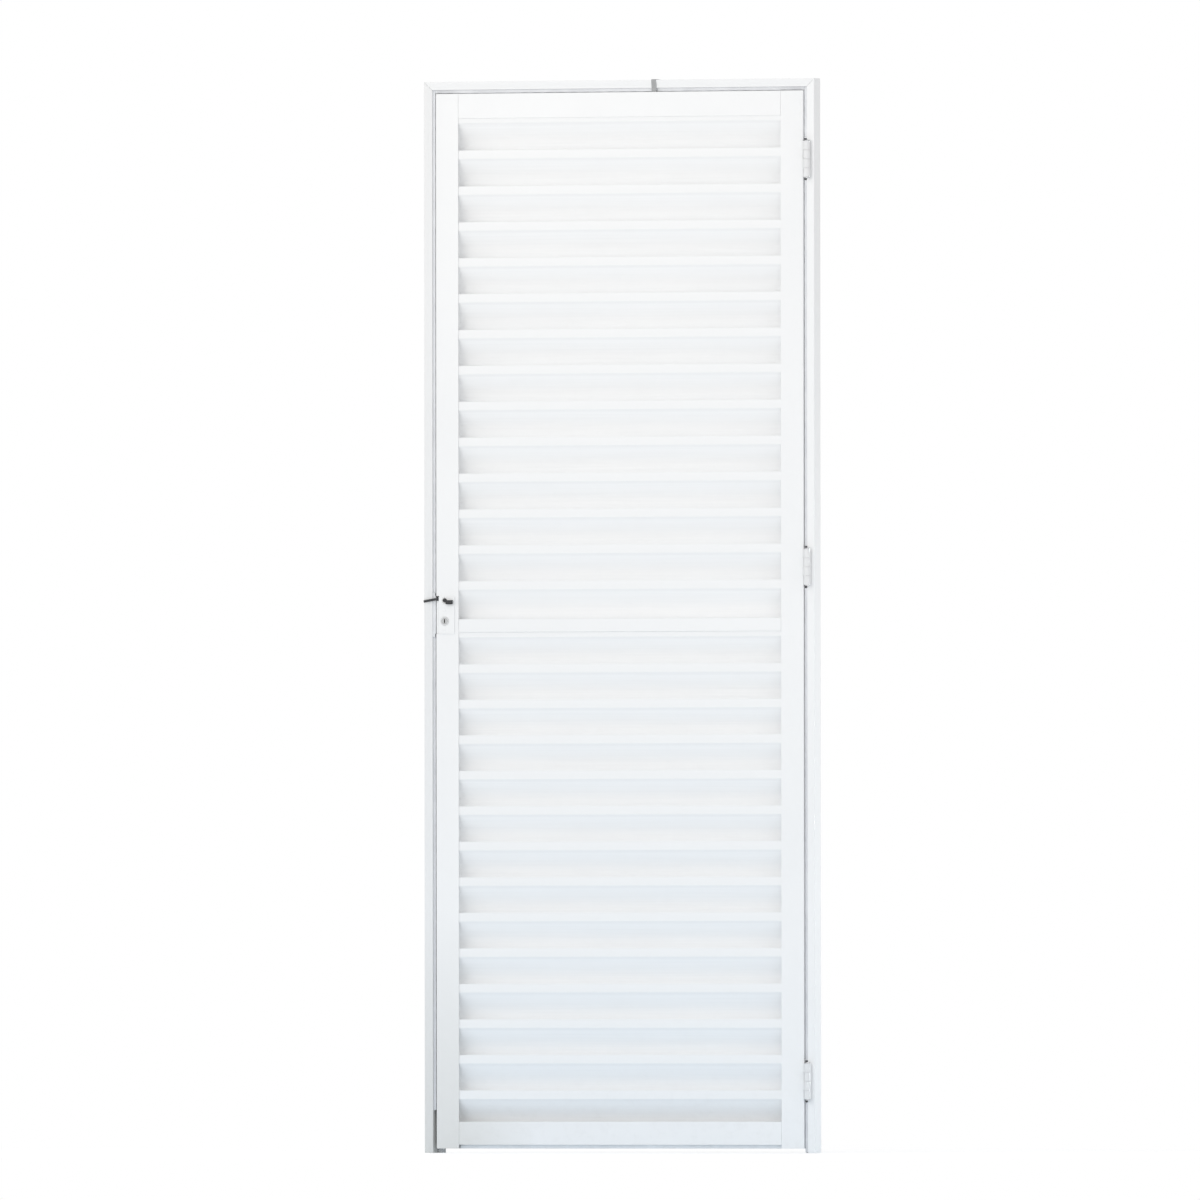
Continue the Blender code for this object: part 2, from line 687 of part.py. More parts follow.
# Lock: a latch drawn by the follower, and a dead bolt thrown by the key plug

def round_hole(radius):
    """The radius of a faceted hole that clears a faceted bar of this radius."""
    return radius / math.cos(math.pi / ROUND_SEGMENTS) + BORE_CLEARANCE


def finger_mesh(name, length, width, angle):
    """A finger with a round tip, that hangs from a hub at the origin and is swung round Y by angle."""
    shaft = rectangle((-FINGER_HALF_WIDTH, -length), (FINGER_HALF_WIDTH, 0.0))
    pieces = [
        extruded(name, [shaft], width, "Y"),
        extruded(name + "_tip", [circle((0.0, -length), FINGER_TIP_RADIUS)], width, "Y"),
    ]
    for mesh in pieces:
        mesh.transform(Matrix.Rotation(-angle, 4, "Y"))
    return pieces


def build_lock_cuts(lock_stile, lock_jamb):
    """The stile's recess and holes for the lock, and the jamb's pockets for its bolts."""
    recess = box(
        "lock_recess",
        (-LEAF_EDGE - CUT_PAST, FRONT - CUT_PAST, LOCK_BOTTOM),
        (LOCK_FACE, LEAF_BACK + CUT_PAST, LOCK_TOP),
    )
    cut(lock_stile, "lock_recess", recess)
    through = LEAF_DEPTH + 2 * CUT_PAST
    spindle_hole = cylinder("spindle_hole", round_hole(HUB_RADIUS), through, "Y")
    cut(lock_stile, "spindle_hole", spindle_hole, (LOCK_AXIS_X, LEAF_MIDDLE, SPINDLE_HEIGHT))
    cylinder_hole = cylinder("cylinder_hole", round_hole(CYLINDER_RADIUS), through, "Y")
    cut(lock_stile, "cylinder_hole", cylinder_hole, (LOCK_AXIS_X, LEAF_MIDDLE, KEY_HEIGHT))
    for name, bottom, top in bolt_spans():
        pocket = bolt_slot(name + "_pocket", bottom, top, STRIKE_SLOT_PLAY)
        cut(lock_jamb, name + "_pocket", pocket, (-JAMB_INNER, 0.0, 0.0))


def bolt_spans():
    """Each bolt's name with its lower and upper face."""
    return (("latch", LATCH_BOTTOM, LATCH_TOP), ("dead_bolt", DEAD_BOLT_BOTTOM, DEAD_BOLT_TOP))


def bolt_slot(name, bottom, top, play):
    """A slot through a thin wall at x = 0, a little larger than the bolt that passes it."""
    half = BOLT_DEPTH / 2 + play
    reach = FRAME_WALL + CUT_PAST
    return box(
        name,
        (-reach, LEAF_MIDDLE - half, bottom - play),
        (reach, LEAF_MIDDLE + half, top + play),
    )


def build_strike():
    """The plate on the lock jamb that the bolts enter."""
    middle = (STRIKE_FACE - JAMB_INNER + CLEARANCE) / 2
    height = LOCK_TOP - LOCK_BOTTOM
    mesh = box(
        "strike_plate",
        (-STRIKE_THICKNESS / 2, -STRIKE_DEPTH / 2, -height / 2),
        (STRIKE_THICKNESS / 2, STRIKE_DEPTH / 2, height / 2),
    )
    place = (middle, LEAF_MIDDLE, (LOCK_TOP + LOCK_BOTTOM) / 2)
    plate = part("strike_plate", mesh, LOCK_STEEL, place, FRAME_FOOT)
    for name, bottom, top in bolt_spans():
        slot = bolt_slot(name + "_strike_slot", bottom, top, STRIKE_SLOT_PLAY)
        cut(plate, name + "_strike_slot", slot, (middle, 0.0, 0.0))


def build_faceplate():
    """The plate in the stile's recess that guides the bolts."""
    half_depth = LEAF_DEPTH / 2 - LEAF_WALL - CLEARANCE
    half_height = (LOCK_TOP - LOCK_BOTTOM) / 2 - CLEARANCE
    half_thickness = FACEPLATE_THICKNESS / 2
    mesh = box(
        "lock_faceplate",
        (-half_thickness, -half_depth, -half_height),
        (half_thickness, half_depth, half_height),
    )
    middle = LOCK_FACE + half_thickness
    place = (middle, LEAF_MIDDLE, (LOCK_TOP + LOCK_BOTTOM) / 2)
    plate = part("lock_faceplate", mesh, LOCK_STEEL, place, LEAF_PIVOT)
    for name, bottom, top in bolt_spans():
        slot = bolt_slot(name + "_face_slot", bottom, top, CLEARANCE)
        cut(plate, name + "_face_slot", slot, (middle, 0.0, 0.0))


def build_case():
    """The lock's folded case: two side plates and a back, open to the faceplate."""
    length = CASE_END - CASE_START
    inner = CASE_HALF_DEPTH - CASE_WALL
    outline = [
        (0.0, -CASE_HALF_DEPTH),
        (length, -CASE_HALF_DEPTH),
        (length, CASE_HALF_DEPTH),
        (0.0, CASE_HALF_DEPTH),
        (0.0, inner),
        (length - CASE_WALL, inner),
        (length - CASE_WALL, -inner),
        (0.0, -inner),
    ]
    height = LOCK_TOP - LOCK_BOTTOM - 2 * CLEARANCE
    mesh = extruded("lock_case", [rounded_loop(outline)], height, "Z")
    place = (CASE_START, LEAF_MIDDLE, (LOCK_TOP + LOCK_BOTTOM) / 2)
    case = part("lock_case", mesh, LOCK_STEEL, place, LEAF_PIVOT)
    through = 2 * (CASE_HALF_DEPTH + CUT_PAST)
    hub_hole = cylinder("hub_hole", round_hole(HUB_RADIUS), through, "Y")
    cut(case, "hub_hole", hub_hole, (LOCK_AXIS_X, LEAF_MIDDLE, SPINDLE_HEIGHT))
    body_hole = cylinder("body_hole", round_hole(CYLINDER_RADIUS), through, "Y")
    cut(case, "body_hole", body_hole, (LOCK_AXIS_X, LEAF_MIDDLE, KEY_HEIGHT))


def build_escutcheons():
    """The cover plates on the leaf's two faces, with holes for the spindle and the cylinder."""
    low = (LOCK_FACE - LOCK_AXIS_X, LOCK_BOTTOM - KEY_HEIGHT)
    high = (low[0] + ESCUTCHEON_WIDTH, LOCK_TOP - KEY_HEIGHT)
    loops = [
        rectangle(low, high, ESCUTCHEON_CORNER),
        circle((0.0, SPINDLE_HEIGHT - KEY_HEIGHT), HUB_RADIUS),
        circle((0.0, 0.0), round_hole(CYLINDER_RADIUS)),
    ]
    mesh = extruded("escutcheon", loops, ESCUTCHEON_THICKNESS, "Y")
    off_face = ESCUTCHEON_THICKNESS / 2 + CLEARANCE
    for name, face in (("front_escutcheon", FRONT - off_face), ("rear_escutcheon", LEAF_BACK + off_face)):
        part(name, mesh, LEAF_COAT, (LOCK_AXIS_X, face, KEY_HEIGHT), LEAF_PIVOT)


def build_follower():
    """The hub that a handle's square spindle turns, with the finger that draws the latch."""
    length = 2 * CASE_HALF_DEPTH
    hub = extruded("lock_follower", [circle((0.0, 0.0), HUB_RADIUS)], length, "Y")
    finger = finger_mesh("follower_finger", FOLLOWER_ARM, BOLT_DEPTH, 0.0)
    half = SPINDLE_SQUARE / 2
    square = extruded("spindle_square", [rectangle((-half, -half), (half, half))], length + CUT_PAST, "Y")
    mesh = combined("lock_follower", [hub, *finger], [square])
    place = (LOCK_AXIS_X, LEAF_MIDDLE, SPINDLE_HEIGHT)
    part("lock_follower", mesh, LOCK_STEEL, place, LEAF_PIVOT)


def notched_bolt(name, start, end, bottom, top, notch_middle, notch_half, notch_floor):
    """A sliding bolt with an open notch in its upper face, in which a finger works."""
    outline = [
        (start, bottom),
        (end, bottom),
        (end, top),
        (notch_middle + notch_half, top),
        (notch_middle + notch_half, notch_floor),
        (notch_middle - notch_half, notch_floor),
        (notch_middle - notch_half, top),
        (start, top),
    ]
    return extruded(name, [rounded_loop(outline)], BOLT_DEPTH, "Y")


def build_latch():
    """The sprung latch, with its sloped tip towards the stop and a bore for its spring."""
    notch_half = FINGER_TIP_RADIUS + LATCH_NOTCH_PLAY
    tail = LOCK_AXIS_X + notch_half + BOLT_END_WALL
    mesh = notched_bolt(
        "latch_bolt",
        LATCH_TIP_X - LOCK_AXIS_X,
        tail - LOCK_AXIS_X,
        LATCH_BOTTOM - LATCH_TIP_HEIGHT,
        LATCH_TOP - LATCH_TIP_HEIGHT,
        0.0,
        notch_half,
        -FINGER_TIP_RADIUS - LATCH_NOTCH_PLAY,
    )
    for vertex in mesh.vertices:
        if vertex.co.y > 0 and vertex.co.x < LATCH_TIP_X - LOCK_AXIS_X + CLEARANCE:
            vertex.co.x += LATCH_TIP_SLOPE
    place = (LOCK_AXIS_X, LEAF_MIDDLE, LATCH_TIP_HEIGHT)
    latch = part("latch_bolt", mesh, LOCK_STEEL, place, LEAF_PIVOT)
    bore = cylinder("spring_bore", SPRING_BORE, 2 * SPRING_SEAT, "X")
    cut(latch, "spring_bore", bore, (tail, LEAF_MIDDLE, SPRING_AXIS_Z))
    build_spring(tail - SPRING_SEAT + CLEARANCE, CASE_END - CASE_WALL - CLEARANCE)


def build_spring(start, end):
    """The coil spring between the latch and the back of the case."""
    wire = SPRING_WIRE / 2
    steps = SPRING_TURNS * COIL_POINTS
    travel = end - start - 2 * wire
    curve = bpy.data.curves.new("latch_spring", "CURVE")
    curve.dimensions = "3D"
    curve.bevel_depth = wire
    curve.bevel_resolution = 1
    curve.use_fill_caps = True
    spline = curve.splines.new("POLY")
    spline.points.add(steps)
    for step, point in enumerate(spline.points):
        angle = 2 * math.pi * step / COIL_POINTS
        along = wire + travel * step / steps
        point.co = (along, SPRING_RADIUS * math.cos(angle), SPRING_RADIUS * math.sin(angle), 1.0)
    guide = bpy.data.objects.new("latch_spring", curve)
    bpy.context.scene.collection.objects.link(guide)
    mesh = evaluated_mesh(guide, "latch_spring")
    bpy.data.objects.remove(guide)
    bpy.data.curves.remove(curve)
    weld(mesh)
    part("latch_spring", smooth(mesh), PIN_STEEL, (start, LEAF_MIDDLE, SPRING_AXIS_Z), LEAF_PIVOT)


def build_dead_bolt():
    """The square bolt that the key throws, stored drawn back."""
    notch_half = FINGER_TIP_RADIUS + DEAD_BOLT_NOTCH_PLAY
    notch_middle = CAM_ARM * math.sin(KEY_TURN / 2)
    mesh = notched_bolt(
        "dead_bolt",
        LOCK_FACE - LOCK_AXIS_X,
        notch_middle + notch_half + BOLT_END_WALL,
        DEAD_BOLT_BOTTOM - DEAD_BOLT_TIP_HEIGHT,
        DEAD_BOLT_TOP - DEAD_BOLT_TIP_HEIGHT,
        notch_middle,
        notch_half,
        -FINGER_TIP_RADIUS - DEAD_BOLT_NOTCH_PLAY,
    )
    place = (LOCK_AXIS_X, LEAF_MIDDLE, DEAD_BOLT_TIP_HEIGHT)
    part("dead_bolt", mesh, LOCK_STEEL, place, LEAF_PIVOT)


def build_cylinder():
    """The cylinder through the leaf, with a window for the cam, and the key plug that turns in it."""
    length = LEAF_DEPTH + 2 * CYLINDER_PROUD
    loops = [circle((0.0, 0.0), CYLINDER_RADIUS), circle((0.0, 0.0), round_hole(PLUG_RADIUS))]
    body = extruded("lock_cylinder", loops, length, "Y")
    place = (LOCK_AXIS_X, LEAF_MIDDLE, KEY_HEIGHT)
    fixed = part("lock_cylinder", body, CYLINDER_BRASS, place, LEAF_PIVOT)
    half_window = CAM_WIDTH / 2 + CLEARANCE
    reach = CYLINDER_RADIUS + CUT_PAST
    window = box("cam_window", (-reach, -half_window, -reach), (reach, half_window, 0.0))
    cut(fixed, "cam_window", window, place)
    bar = extruded("key_plug", [circle((0.0, 0.0), PLUG_RADIUS)], length, "Y")
    cam = finger_mesh("key_cam", CAM_ARM, CAM_WIDTH, KEY_TURN / 2)
    keyways = []
    for side in (-1, 1):
        keyway = box(
            "keyway",
            (-KEYWAY_WIDTH / 2, -KEYWAY_DEPTH, -KEYWAY_HEIGHT / 2),
            (KEYWAY_WIDTH / 2, KEYWAY_DEPTH, KEYWAY_HEIGHT / 2),
        )
        keyways.append(moved(keyway, (0.0, side * length / 2, 0.0)))
    plug = combined("key_plug", [bar, *cam], keyways)
    part("key_plug", plug, CYLINDER_BRASS, place, LEAF_PIVOT)


def build_door():
    lock_jamb = build_jamb("lock_jamb", -1)
    build_jamb("hinge_jamb", 1)
    build_head()
    build_seals()
    lock_stile = build_stile("lock_stile", -1)
    build_stile("hinge_stile", 1)
    build_end_rail("top_rail", TOP_RAIL_BOTTOM, TOP_RAIL_HEIGHT, TOP_RAIL_POCKET, -1)
    build_mid_rail()
    build_end_rail("bottom_rail", BOTTOM_RAIL_BOTTOM, BOTTOM_RAIL_HEIGHT, BOTTOM_RAIL_POCKET, 1)
    build_sweep()
    build_bank("upper_slat", UPPER_FIRST_LIP, UPPER_PITCH)
    build_bank("lower_slat", LOWER_FIRST_LIP, LOWER_PITCH)
    build_hinges()
    build_lock_cuts(lock_stile, lock_jamb)
    build_strike()
    build_faceplate()
    build_case()
    build_escutcheons()
    build_follower()
    build_latch()
    build_dead_bolt()
    build_cylinder()


build_door()
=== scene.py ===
"""Looks of the louvered door: the finish of every solid, small and soft pieces, the stage and the camera.

Metres, in the frame of the solids: +X to the hinges, -Y towards the viewer, +Z up.
"""

import math

import bmesh
import bpy
from mathutils import Matrix, Vector


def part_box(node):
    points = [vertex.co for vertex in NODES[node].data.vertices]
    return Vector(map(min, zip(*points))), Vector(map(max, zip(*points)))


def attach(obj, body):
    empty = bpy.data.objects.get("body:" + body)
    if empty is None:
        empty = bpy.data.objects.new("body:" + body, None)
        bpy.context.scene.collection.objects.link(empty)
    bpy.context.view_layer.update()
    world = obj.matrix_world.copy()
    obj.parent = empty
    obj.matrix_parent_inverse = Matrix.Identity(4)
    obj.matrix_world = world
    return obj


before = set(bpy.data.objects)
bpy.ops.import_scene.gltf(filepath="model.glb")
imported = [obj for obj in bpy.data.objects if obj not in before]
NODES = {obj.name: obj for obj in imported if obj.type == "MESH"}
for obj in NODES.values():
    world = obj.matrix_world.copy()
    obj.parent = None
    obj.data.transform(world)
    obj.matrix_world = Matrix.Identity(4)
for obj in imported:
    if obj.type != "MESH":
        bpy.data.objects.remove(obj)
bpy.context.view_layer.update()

# Camera, as it stood for a square photograph
PHOTO_SIDE = 1200
PIXELS_PER_METRE = 510.8
CAMERA_DISTANCE = 60.0
CAMERA_AZIMUTH = math.radians(17.27)
CAMERA_ELEVATION = math.radians(-0.75)
CAMERA_ROLL = math.radians(-0.057)
CAMERA_SENSOR = 36.0
CAMERA_CLIP = (0.5, 500.0)
AIM_ACROSS = -0.0418
AIM_HEIGHT = 1.0823

# Places on the solids
FRAME_LOW, FRAME_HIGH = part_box("lock_jamb")
HEAD_LOW, HEAD_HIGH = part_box("head_jamb")
STILE_LOW, STILE_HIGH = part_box("lock_stile")
PLATE_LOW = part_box("front_escutcheon")[0]
REAR_PLATE_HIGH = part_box("rear_escutcheon")[1]
CYLINDER_LOW, CYLINDER_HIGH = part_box("lock_cylinder")
FOLLOWER_LOW, FOLLOWER_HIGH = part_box("lock_follower")
FRONT = STILE_LOW.y
FRAME_FACE = 0.016
HEAD_INNER = HEAD_HIGH.z - FRAME_FACE
HINGE_JAMB_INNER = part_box("hinge_jamb")[1].x - FRAME_FACE
HINGE_STILE_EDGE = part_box("hinge_stile")[1].x
HINGE_PLATE_RISE = 0.00285
LOCK_AXIS_X = (CYLINDER_LOW.x + CYLINDER_HIGH.x) / 2
KEY_HEIGHT = (CYLINDER_LOW.z + CYLINDER_HIGH.z) / 2
HUB_RADIUS = (FOLLOWER_HIGH.x - FOLLOWER_LOW.x) / 2
SPINDLE_HEIGHT = FOLLOWER_HIGH.z - HUB_RADIUS

# Edges of the solids; those of the cut plates stay sharp
WELD_DISTANCE = 1e-6
SMOOTH_ANGLE = math.radians(35)
EDGE_WIDTH = 0.0003
MITRE_EDGE_WIDTH = 0.00012
MITRED = ("lock_jamb", "hinge_jamb", "head_jamb")
EDGE_SEGMENTS = 2
CUT_PLATES = ("front_escutcheon", "rear_escutcheon")

# Ties
TIE_WIDTH = 0.0048
TIE_THICKNESS = 0.0013
TIE_PLAY = 0.0002
TIE_BEND = 0.0022
TIE_HEAD = (0.0138, 0.0056, 0.0082)
TIE_HEAD_SOFT = 0.0011
TIE_HEAD_PLACE = (0.0104, 0.0032, -0.0036)
TIE_TAIL = ((-0.0030, -0.0030, 0.0004), (0.0078, -0.0034, 0.0002))
# Corners of the tie, as steps from the surfaces that it lies on, first round the jamb and then on the leaf
TIE_JAMB_STEPS = (
    (-0.0034, 0.0040, 0.0024), (-0.0024, -0.0002, 0.0030), (0.0, 0.0, -0.0020),
    (0.0, 0.0, -0.0030), (0.0, 0.0, -0.0010), (0.0002, -0.0028, -0.0006),
)
TIE_LEAF_STEPS = (
    (0.0022, 0.0012, -0.0004), (-0.0018, 0.0004, 0.0), (-0.0012, -0.0020, 0.0),
    (-0.0020, 0.0050, 0.0004), (-0.0020, -0.0014, 0.0002), (-0.0040, -0.0004, 0.0010),
)
HEAD_STRAP_X = 0.072
HEAD_STRAP_WIDTH = 0.0095
HEAD_STRAP_THICKNESS = 0.0010
HEAD_STRAP_TUCK = 0.012
HEAD_STRAP_RETURN = 0.0028
STRAP_SOFT = 0.3
FILLET_STEPS = 5
FILLET_LIMIT = 0.49
BLOCK_SEGMENTS = 2
BLOCK_PROFILE = 0.7

# Pile strips in the gap round the leaf
PILE_SETBACK = 0.0040
PILE_DEPTH = 0.0052
PILE_LOCK_SETBACK = 0.0010
PILE_LOCK_DEPTH = 0.0034
PILE_LOCK_HEIGHT = 0.0068
PILE_BASE = 0.0010
PILE_LOCK_SIDE_HEIGHT = 0.0053
PILE_HINGE_SIDE_HEIGHT = 0.0067
PILE_HEAD_HEIGHT = 0.0068
PILE_TUFT = 0.0016
PILE_FOOT = 0.084
PILE_HINGE_SIDE_FOOT = 0.0016
PILE_TIP = 0.95
PILE_WAVE = 0.025
PILE_WAVE_STEP = 0.4
# Section of the pile: shares of the base's height, of the tip's height and of the depth
PILE_SECTION = (
    (0.0, 0.0, 0.0), (1.0, 0.0, 0.0), (1.0, 0.0, 0.12), (0.0, 0.94, 0.16), (0.0, 1.0, 0.34),
    (0.0, 1.0, 0.66), (0.0, 0.94, 0.84), (1.0, 0.0, 0.88), (1.0, 0.0, 1.0), (0.0, 0.0, 1.0),
)
PILE_END_SPACE = 0.006
PILE_RECESS_SPACE = 0.0006
PILE_STRAP_SPACE = 0.0004

# Screws
SCREW_RADIUS = 0.0029
SCREW_RISE = 0.0006
SCREW_SEGMENTS = 24
SCREW_SHOULDER = 0.35
SCREW_CROWN = 0.80
SCREW_CROSS_FLOOR = 0.72
SCREW_CROSS_REACH = 0.0017
SCREW_CROSS_HALF = 0.00042
SCREW_CROSS_DEPTH = 0.00045
SCREW_OFF = 0.00002
FACEPLATE_SCREW_SPACE = 0.0055
# Screws of a hinge plate: height from its middle, and depth from the leaf's front
HINGE_SCREWS = ((0.024, 0.0075), (0.0, 0.0145), (-0.024, 0.0075))

# Rim in the lock's recess
RIM_SETBACK = 0.0020
RIM_SHEET = 0.0012
RIM_BOLT_SPACE = 0.0005
RIM_BELOW_SPINDLE = 0.0008

# Bushing in the spindle hole: radius and how far it stands out of the plate, round its section
BUSHING_SEGMENTS = 32
BUSHING_PROFILE = (
    (0.0043, -0.0040), (0.0043, -0.0003), (0.0046, 0.0001),
    (0.0057, 0.0001), (0.0060, -0.0002), (0.0060, -0.0040),
)

# Keyway of the plug
KEYWAY_WIDTH = 0.0022
KEYWAY_HEIGHT = 0.0080
KEYWAY_PLAY = 0.0001
KEYWAY_FLOOR = 0.0006
KEYWAY_FLOOR_DEPTH = 0.0050
KEYWAY_FLOOR_SOFT = 0.0001
WARD_SIDE = 0.0002
WARD_STARTS = (-1.0, -0.2, 0.45)
WARD_DEPTHS = (0.0012, 0.0022, 0.0016)
WARD_THICKNESS = 0.0020
WARD_HEIGHT = 0.55
WARD_SOFT = 0.00015

# Painted shade on the slats' lips: they are coloured greyer than the webs, which take a whiter coat as
# painted light
SLAT_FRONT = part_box("upper_slat_01")[0].y
SLAT_LIP_EDGE = 0.0014
SLAT_WEB_EDGE = 0.0045
SLAT_LIP_PAINTED_SHADE = (0.885, 0.888, 0.892)

# Powder coat
COAT_DRIFT = {"scale": 2.6, "detail": 3.0, "roughness": 0.55}
COAT_DRIFT_SWING = (0.36, 0.64)
COAT_STREAK_STRETCH = (0.9, 70.0, 70.0)
COAT_STREAK = {"scale": 4.0, "detail": 3.0, "roughness": 0.6}
COAT_STREAK_SWING = (0.42, 0.72)
COAT_RIPPLE = {"scale": 900.0, "detail": 2.0, "roughness": 0.45}
COAT_RIPPLE_STRENGTH = 0.10
COAT_SATIN = {"scale": 34.0, "detail": 3.0}
COAT_SATIN_RANGE = 0.04
DUST_HEIGHT = 0.22
DUST = {"scale": 55.0, "detail": 5.0, "roughness": 0.65}
DUST_SWING = (0.5, 0.75)
DUST_SHARE = 0.11
DUST_COLOUR = (0.52, 0.52, 0.50)

# Rubber, metal and nylon
RUBBER_BLOOM = {"scale": 26.0, "detail": 5.0, "roughness": 0.62}
RUBBER_BLOOM_SWING = (0.35, 0.7)
RUBBER_ROUGHNESS = (0.62, 0.82)
RUBBER_GRAIN = {"scale": 1600.0, "detail": 2.0}
RUBBER_GRAIN_STRENGTH = 0.25
METAL_LINES = {"scale": 60.0, "detail": 3.0, "roughness": 0.6}
METAL_LINES_STRENGTH = 0.12
METAL_PATCHES = {"scale": 120.0, "detail": 4.0, "roughness": 0.6}
METAL_ROUGHER = 0.07
METAL_SMOOTHER = 0.05
NYLON_SCUFFS = {"scale": 300.0, "detail": 4.0, "roughness": 0.62}
NYLON_SCUFFS_SWING = (0.35, 0.75)
NYLON_ROUGHNESS = (0.38, 0.56)
NYLON_GRAIN = {"scale": 2200.0, "detail": 2.0}
NYLON_GRAIN_STRENGTH = 0.3

# What the recipes share: the usual swing of a noise, the depth of a bump, sockets of a colour mix, white
SWING = (0.3, 0.7)
BUMP_DISTANCE = 0.0001
MIX_COLOURS = (6, 7)
MIX_RESULT = 2
WHITE = (1.0, 1.0, 1.0, 1.0)

# Painted shade at the foot of the lock side: the coat is darkened there
LOCK_FOOT_SHADE = 0.34
LOCK_FOOT_SHADE_HEIGHT = 0.48
LOCK_FOOT_SHADE_REACH = 0.16
LOCK_FOOT_SHADE_COLOUR = (0.49, 0.47, 0.41)

# Painted shade on the pile: darker towards the floor
PILE_SHADE_HEIGHTS = (0.3, 1.9)
PILE_SHADE_COLOUR = (0.10, 0.10, 0.12)

# Painted light on the lock side's seal: a pale lip behind the leaf, where the seal lies in shade under the
# stile
LIP_OFFSET = 0.0085
LIP_SEAM = 0.0008
LIP_LIGHT = (0.92, 0.925, 0.93)
LIP_SHADE = (0.86, 0.865, 0.87)

# Stage and light
FLOOR_RADIUS = 16.0
FLOOR_SEGMENTS = 96
FLOOR_HEIGHT = -0.0004
FLOOR_NEAR = 0.5
FLOOR_FAR = 2.2
FLOOR_LIFT = 0.17
FLOOR_GRAIN = {"scale": 3.0, "detail": 3.0}
FLOOR_SHADE = (0.90, 0.90, 0.905)
FLOOR_LIGHT = (0.92, 0.92, 0.925)
FLOOR_ROUGHNESS = 0.9
FLOOR_SPECULAR = 0.1
FLOOR_BOUNCE_NEAR = (0.755, 0.860, 0.955)
FLOOR_BOUNCE_FAR = (0.890, 0.875, 0.860)
FLOOR_BOUNCE_EDGE = 2.8
SKY_LEVEL = 0.893
SKY_SLANT = (-0.18, 0.0, 0.0)
SKY_COLOUR = (0.992, 0.997, 1.0)
LAMPS = {
    "key_lamp": {
        "place": (1.5, -4.2, 1.15), "aim": (0.0, 0.0, 1.1),
        "size": 1.6, "power": 18.5, "colour": (0.94, 0.98, 1.0),
    },
    "fill_lamp": {
        "place": (0.3, -2.6, 2.1), "aim": (0.0, 0.0, 1.8),
        "size": 1.2, "power": 1.6, "colour": (1.0, 0.965, 0.92),
    },
    "side_lamp": {
        "place": (-0.9, -2.2, 2.5), "aim": (-0.1, 0.0, 1.6),
        "size": 1.2, "power": 6.6, "colour": (1.0, 0.95, 0.88),
    },
    "low_lamp": {
        "place": (12.0, 0.5, 0.60), "aim": (0.4, 0.0, 0.60),
        "size": 0.9, "power": 1.25, "colour": (0.93, 0.98, 1.0), "spread": math.radians(11.8),
    },
}


# Materials

def new_material(name):
    made = bpy.data.materials.new(name)
    made.use_nodes = True
    return made, made.node_tree, made.node_tree.nodes["Principled BSDF"]


def add(tree, kind, values=None, **settings):
    """A shader node with its own settings and its sockets' values or links."""
    made = tree.nodes.new("ShaderNode" + kind)
    for name, value in settings.items():
        setattr(made, name, value)
    for socket, value in (values or {}).items():
        if isinstance(value, bpy.types.NodeSocket):
            tree.links.new(value, made.inputs[socket])
        else:
            made.inputs[socket].default_value = value
    return made


def place_of(tree, stretch=(1.0, 1.0, 1.0)):
    """The object's own coordinates, in metres, stretched for grain that runs one way."""
    place = add(tree, "TexCoord").outputs["Object"]
    return add(tree, "Mapping", {"Vector": place, "Scale": stretch}).outputs["Vector"]


def noise(tree, place, scale, detail=2.0, roughness=0.5):
    values = {"Vector": place, "Scale": scale, "Detail": detail, "Roughness": roughness}
    return add(tree, "TexNoise", values).outputs["Fac"]


def ranged(tree, value, low, high, to_low, to_high):
    values = {"Value": value, "From Min": low, "From Max": high, "To Min": to_low, "To Max": to_high}
    return add(tree, "MapRange", values).outputs["Result"]


def times(tree, first, second):
    return add(tree, "Math", {0: first, 1: second}, operation="MULTIPLY").outputs[0]


def tones(tree, value, swing, shade, light):
    """A colour that runs from shade to light as value goes through its swing."""
    ramp = add(tree, "ValToRGB", {"Fac": value})
    for element, position, colour in zip(ramp.color_ramp.elements, swing, (shade, light)):
        element.position = position
        element.color = (*colour, 1.0)
    return ramp.outputs["Color"]


def mixed(tree, factor, first, second):
    """One colour over another; each is a socket or a plain colour."""
    mix = add(tree, "Mix", {0: factor}, data_type="RGBA")
    for index, colour in zip(MIX_COLOURS, (first, second)):
        if isinstance(colour, bpy.types.NodeSocket):
            tree.links.new(colour, mix.inputs[index])
        else:
            mix.inputs[index].default_value = (*colour, 1.0)
    return mix.outputs[MIX_RESULT]


def bump(tree, height, strength):
    values = {"Height": height, "Strength": strength, "Distance": BUMP_DISTANCE}
    return add(tree, "Bump", values).outputs["Normal"]


def any_ray(tree, *kinds):
    """1 for rays of these kinds, and 0 for others."""
    path = add(tree, "LightPath").outputs
    found = path[kinds[0]]
    for kind in kinds[1:]:
        found = add(tree, "Math", {0: found, 1: path[kind]}, operation="MAXIMUM").outputs[0]
    return found


def wire(tree, shader, **sockets):
    """Links or sets the shader's sockets, named with _ for a space."""
    for name, value in sockets.items():
        socket = shader.inputs[name.replace("_", " ")]
        if isinstance(value, bpy.types.NodeSocket):
            tree.links.new(value, socket)
        else:
            socket.default_value = value


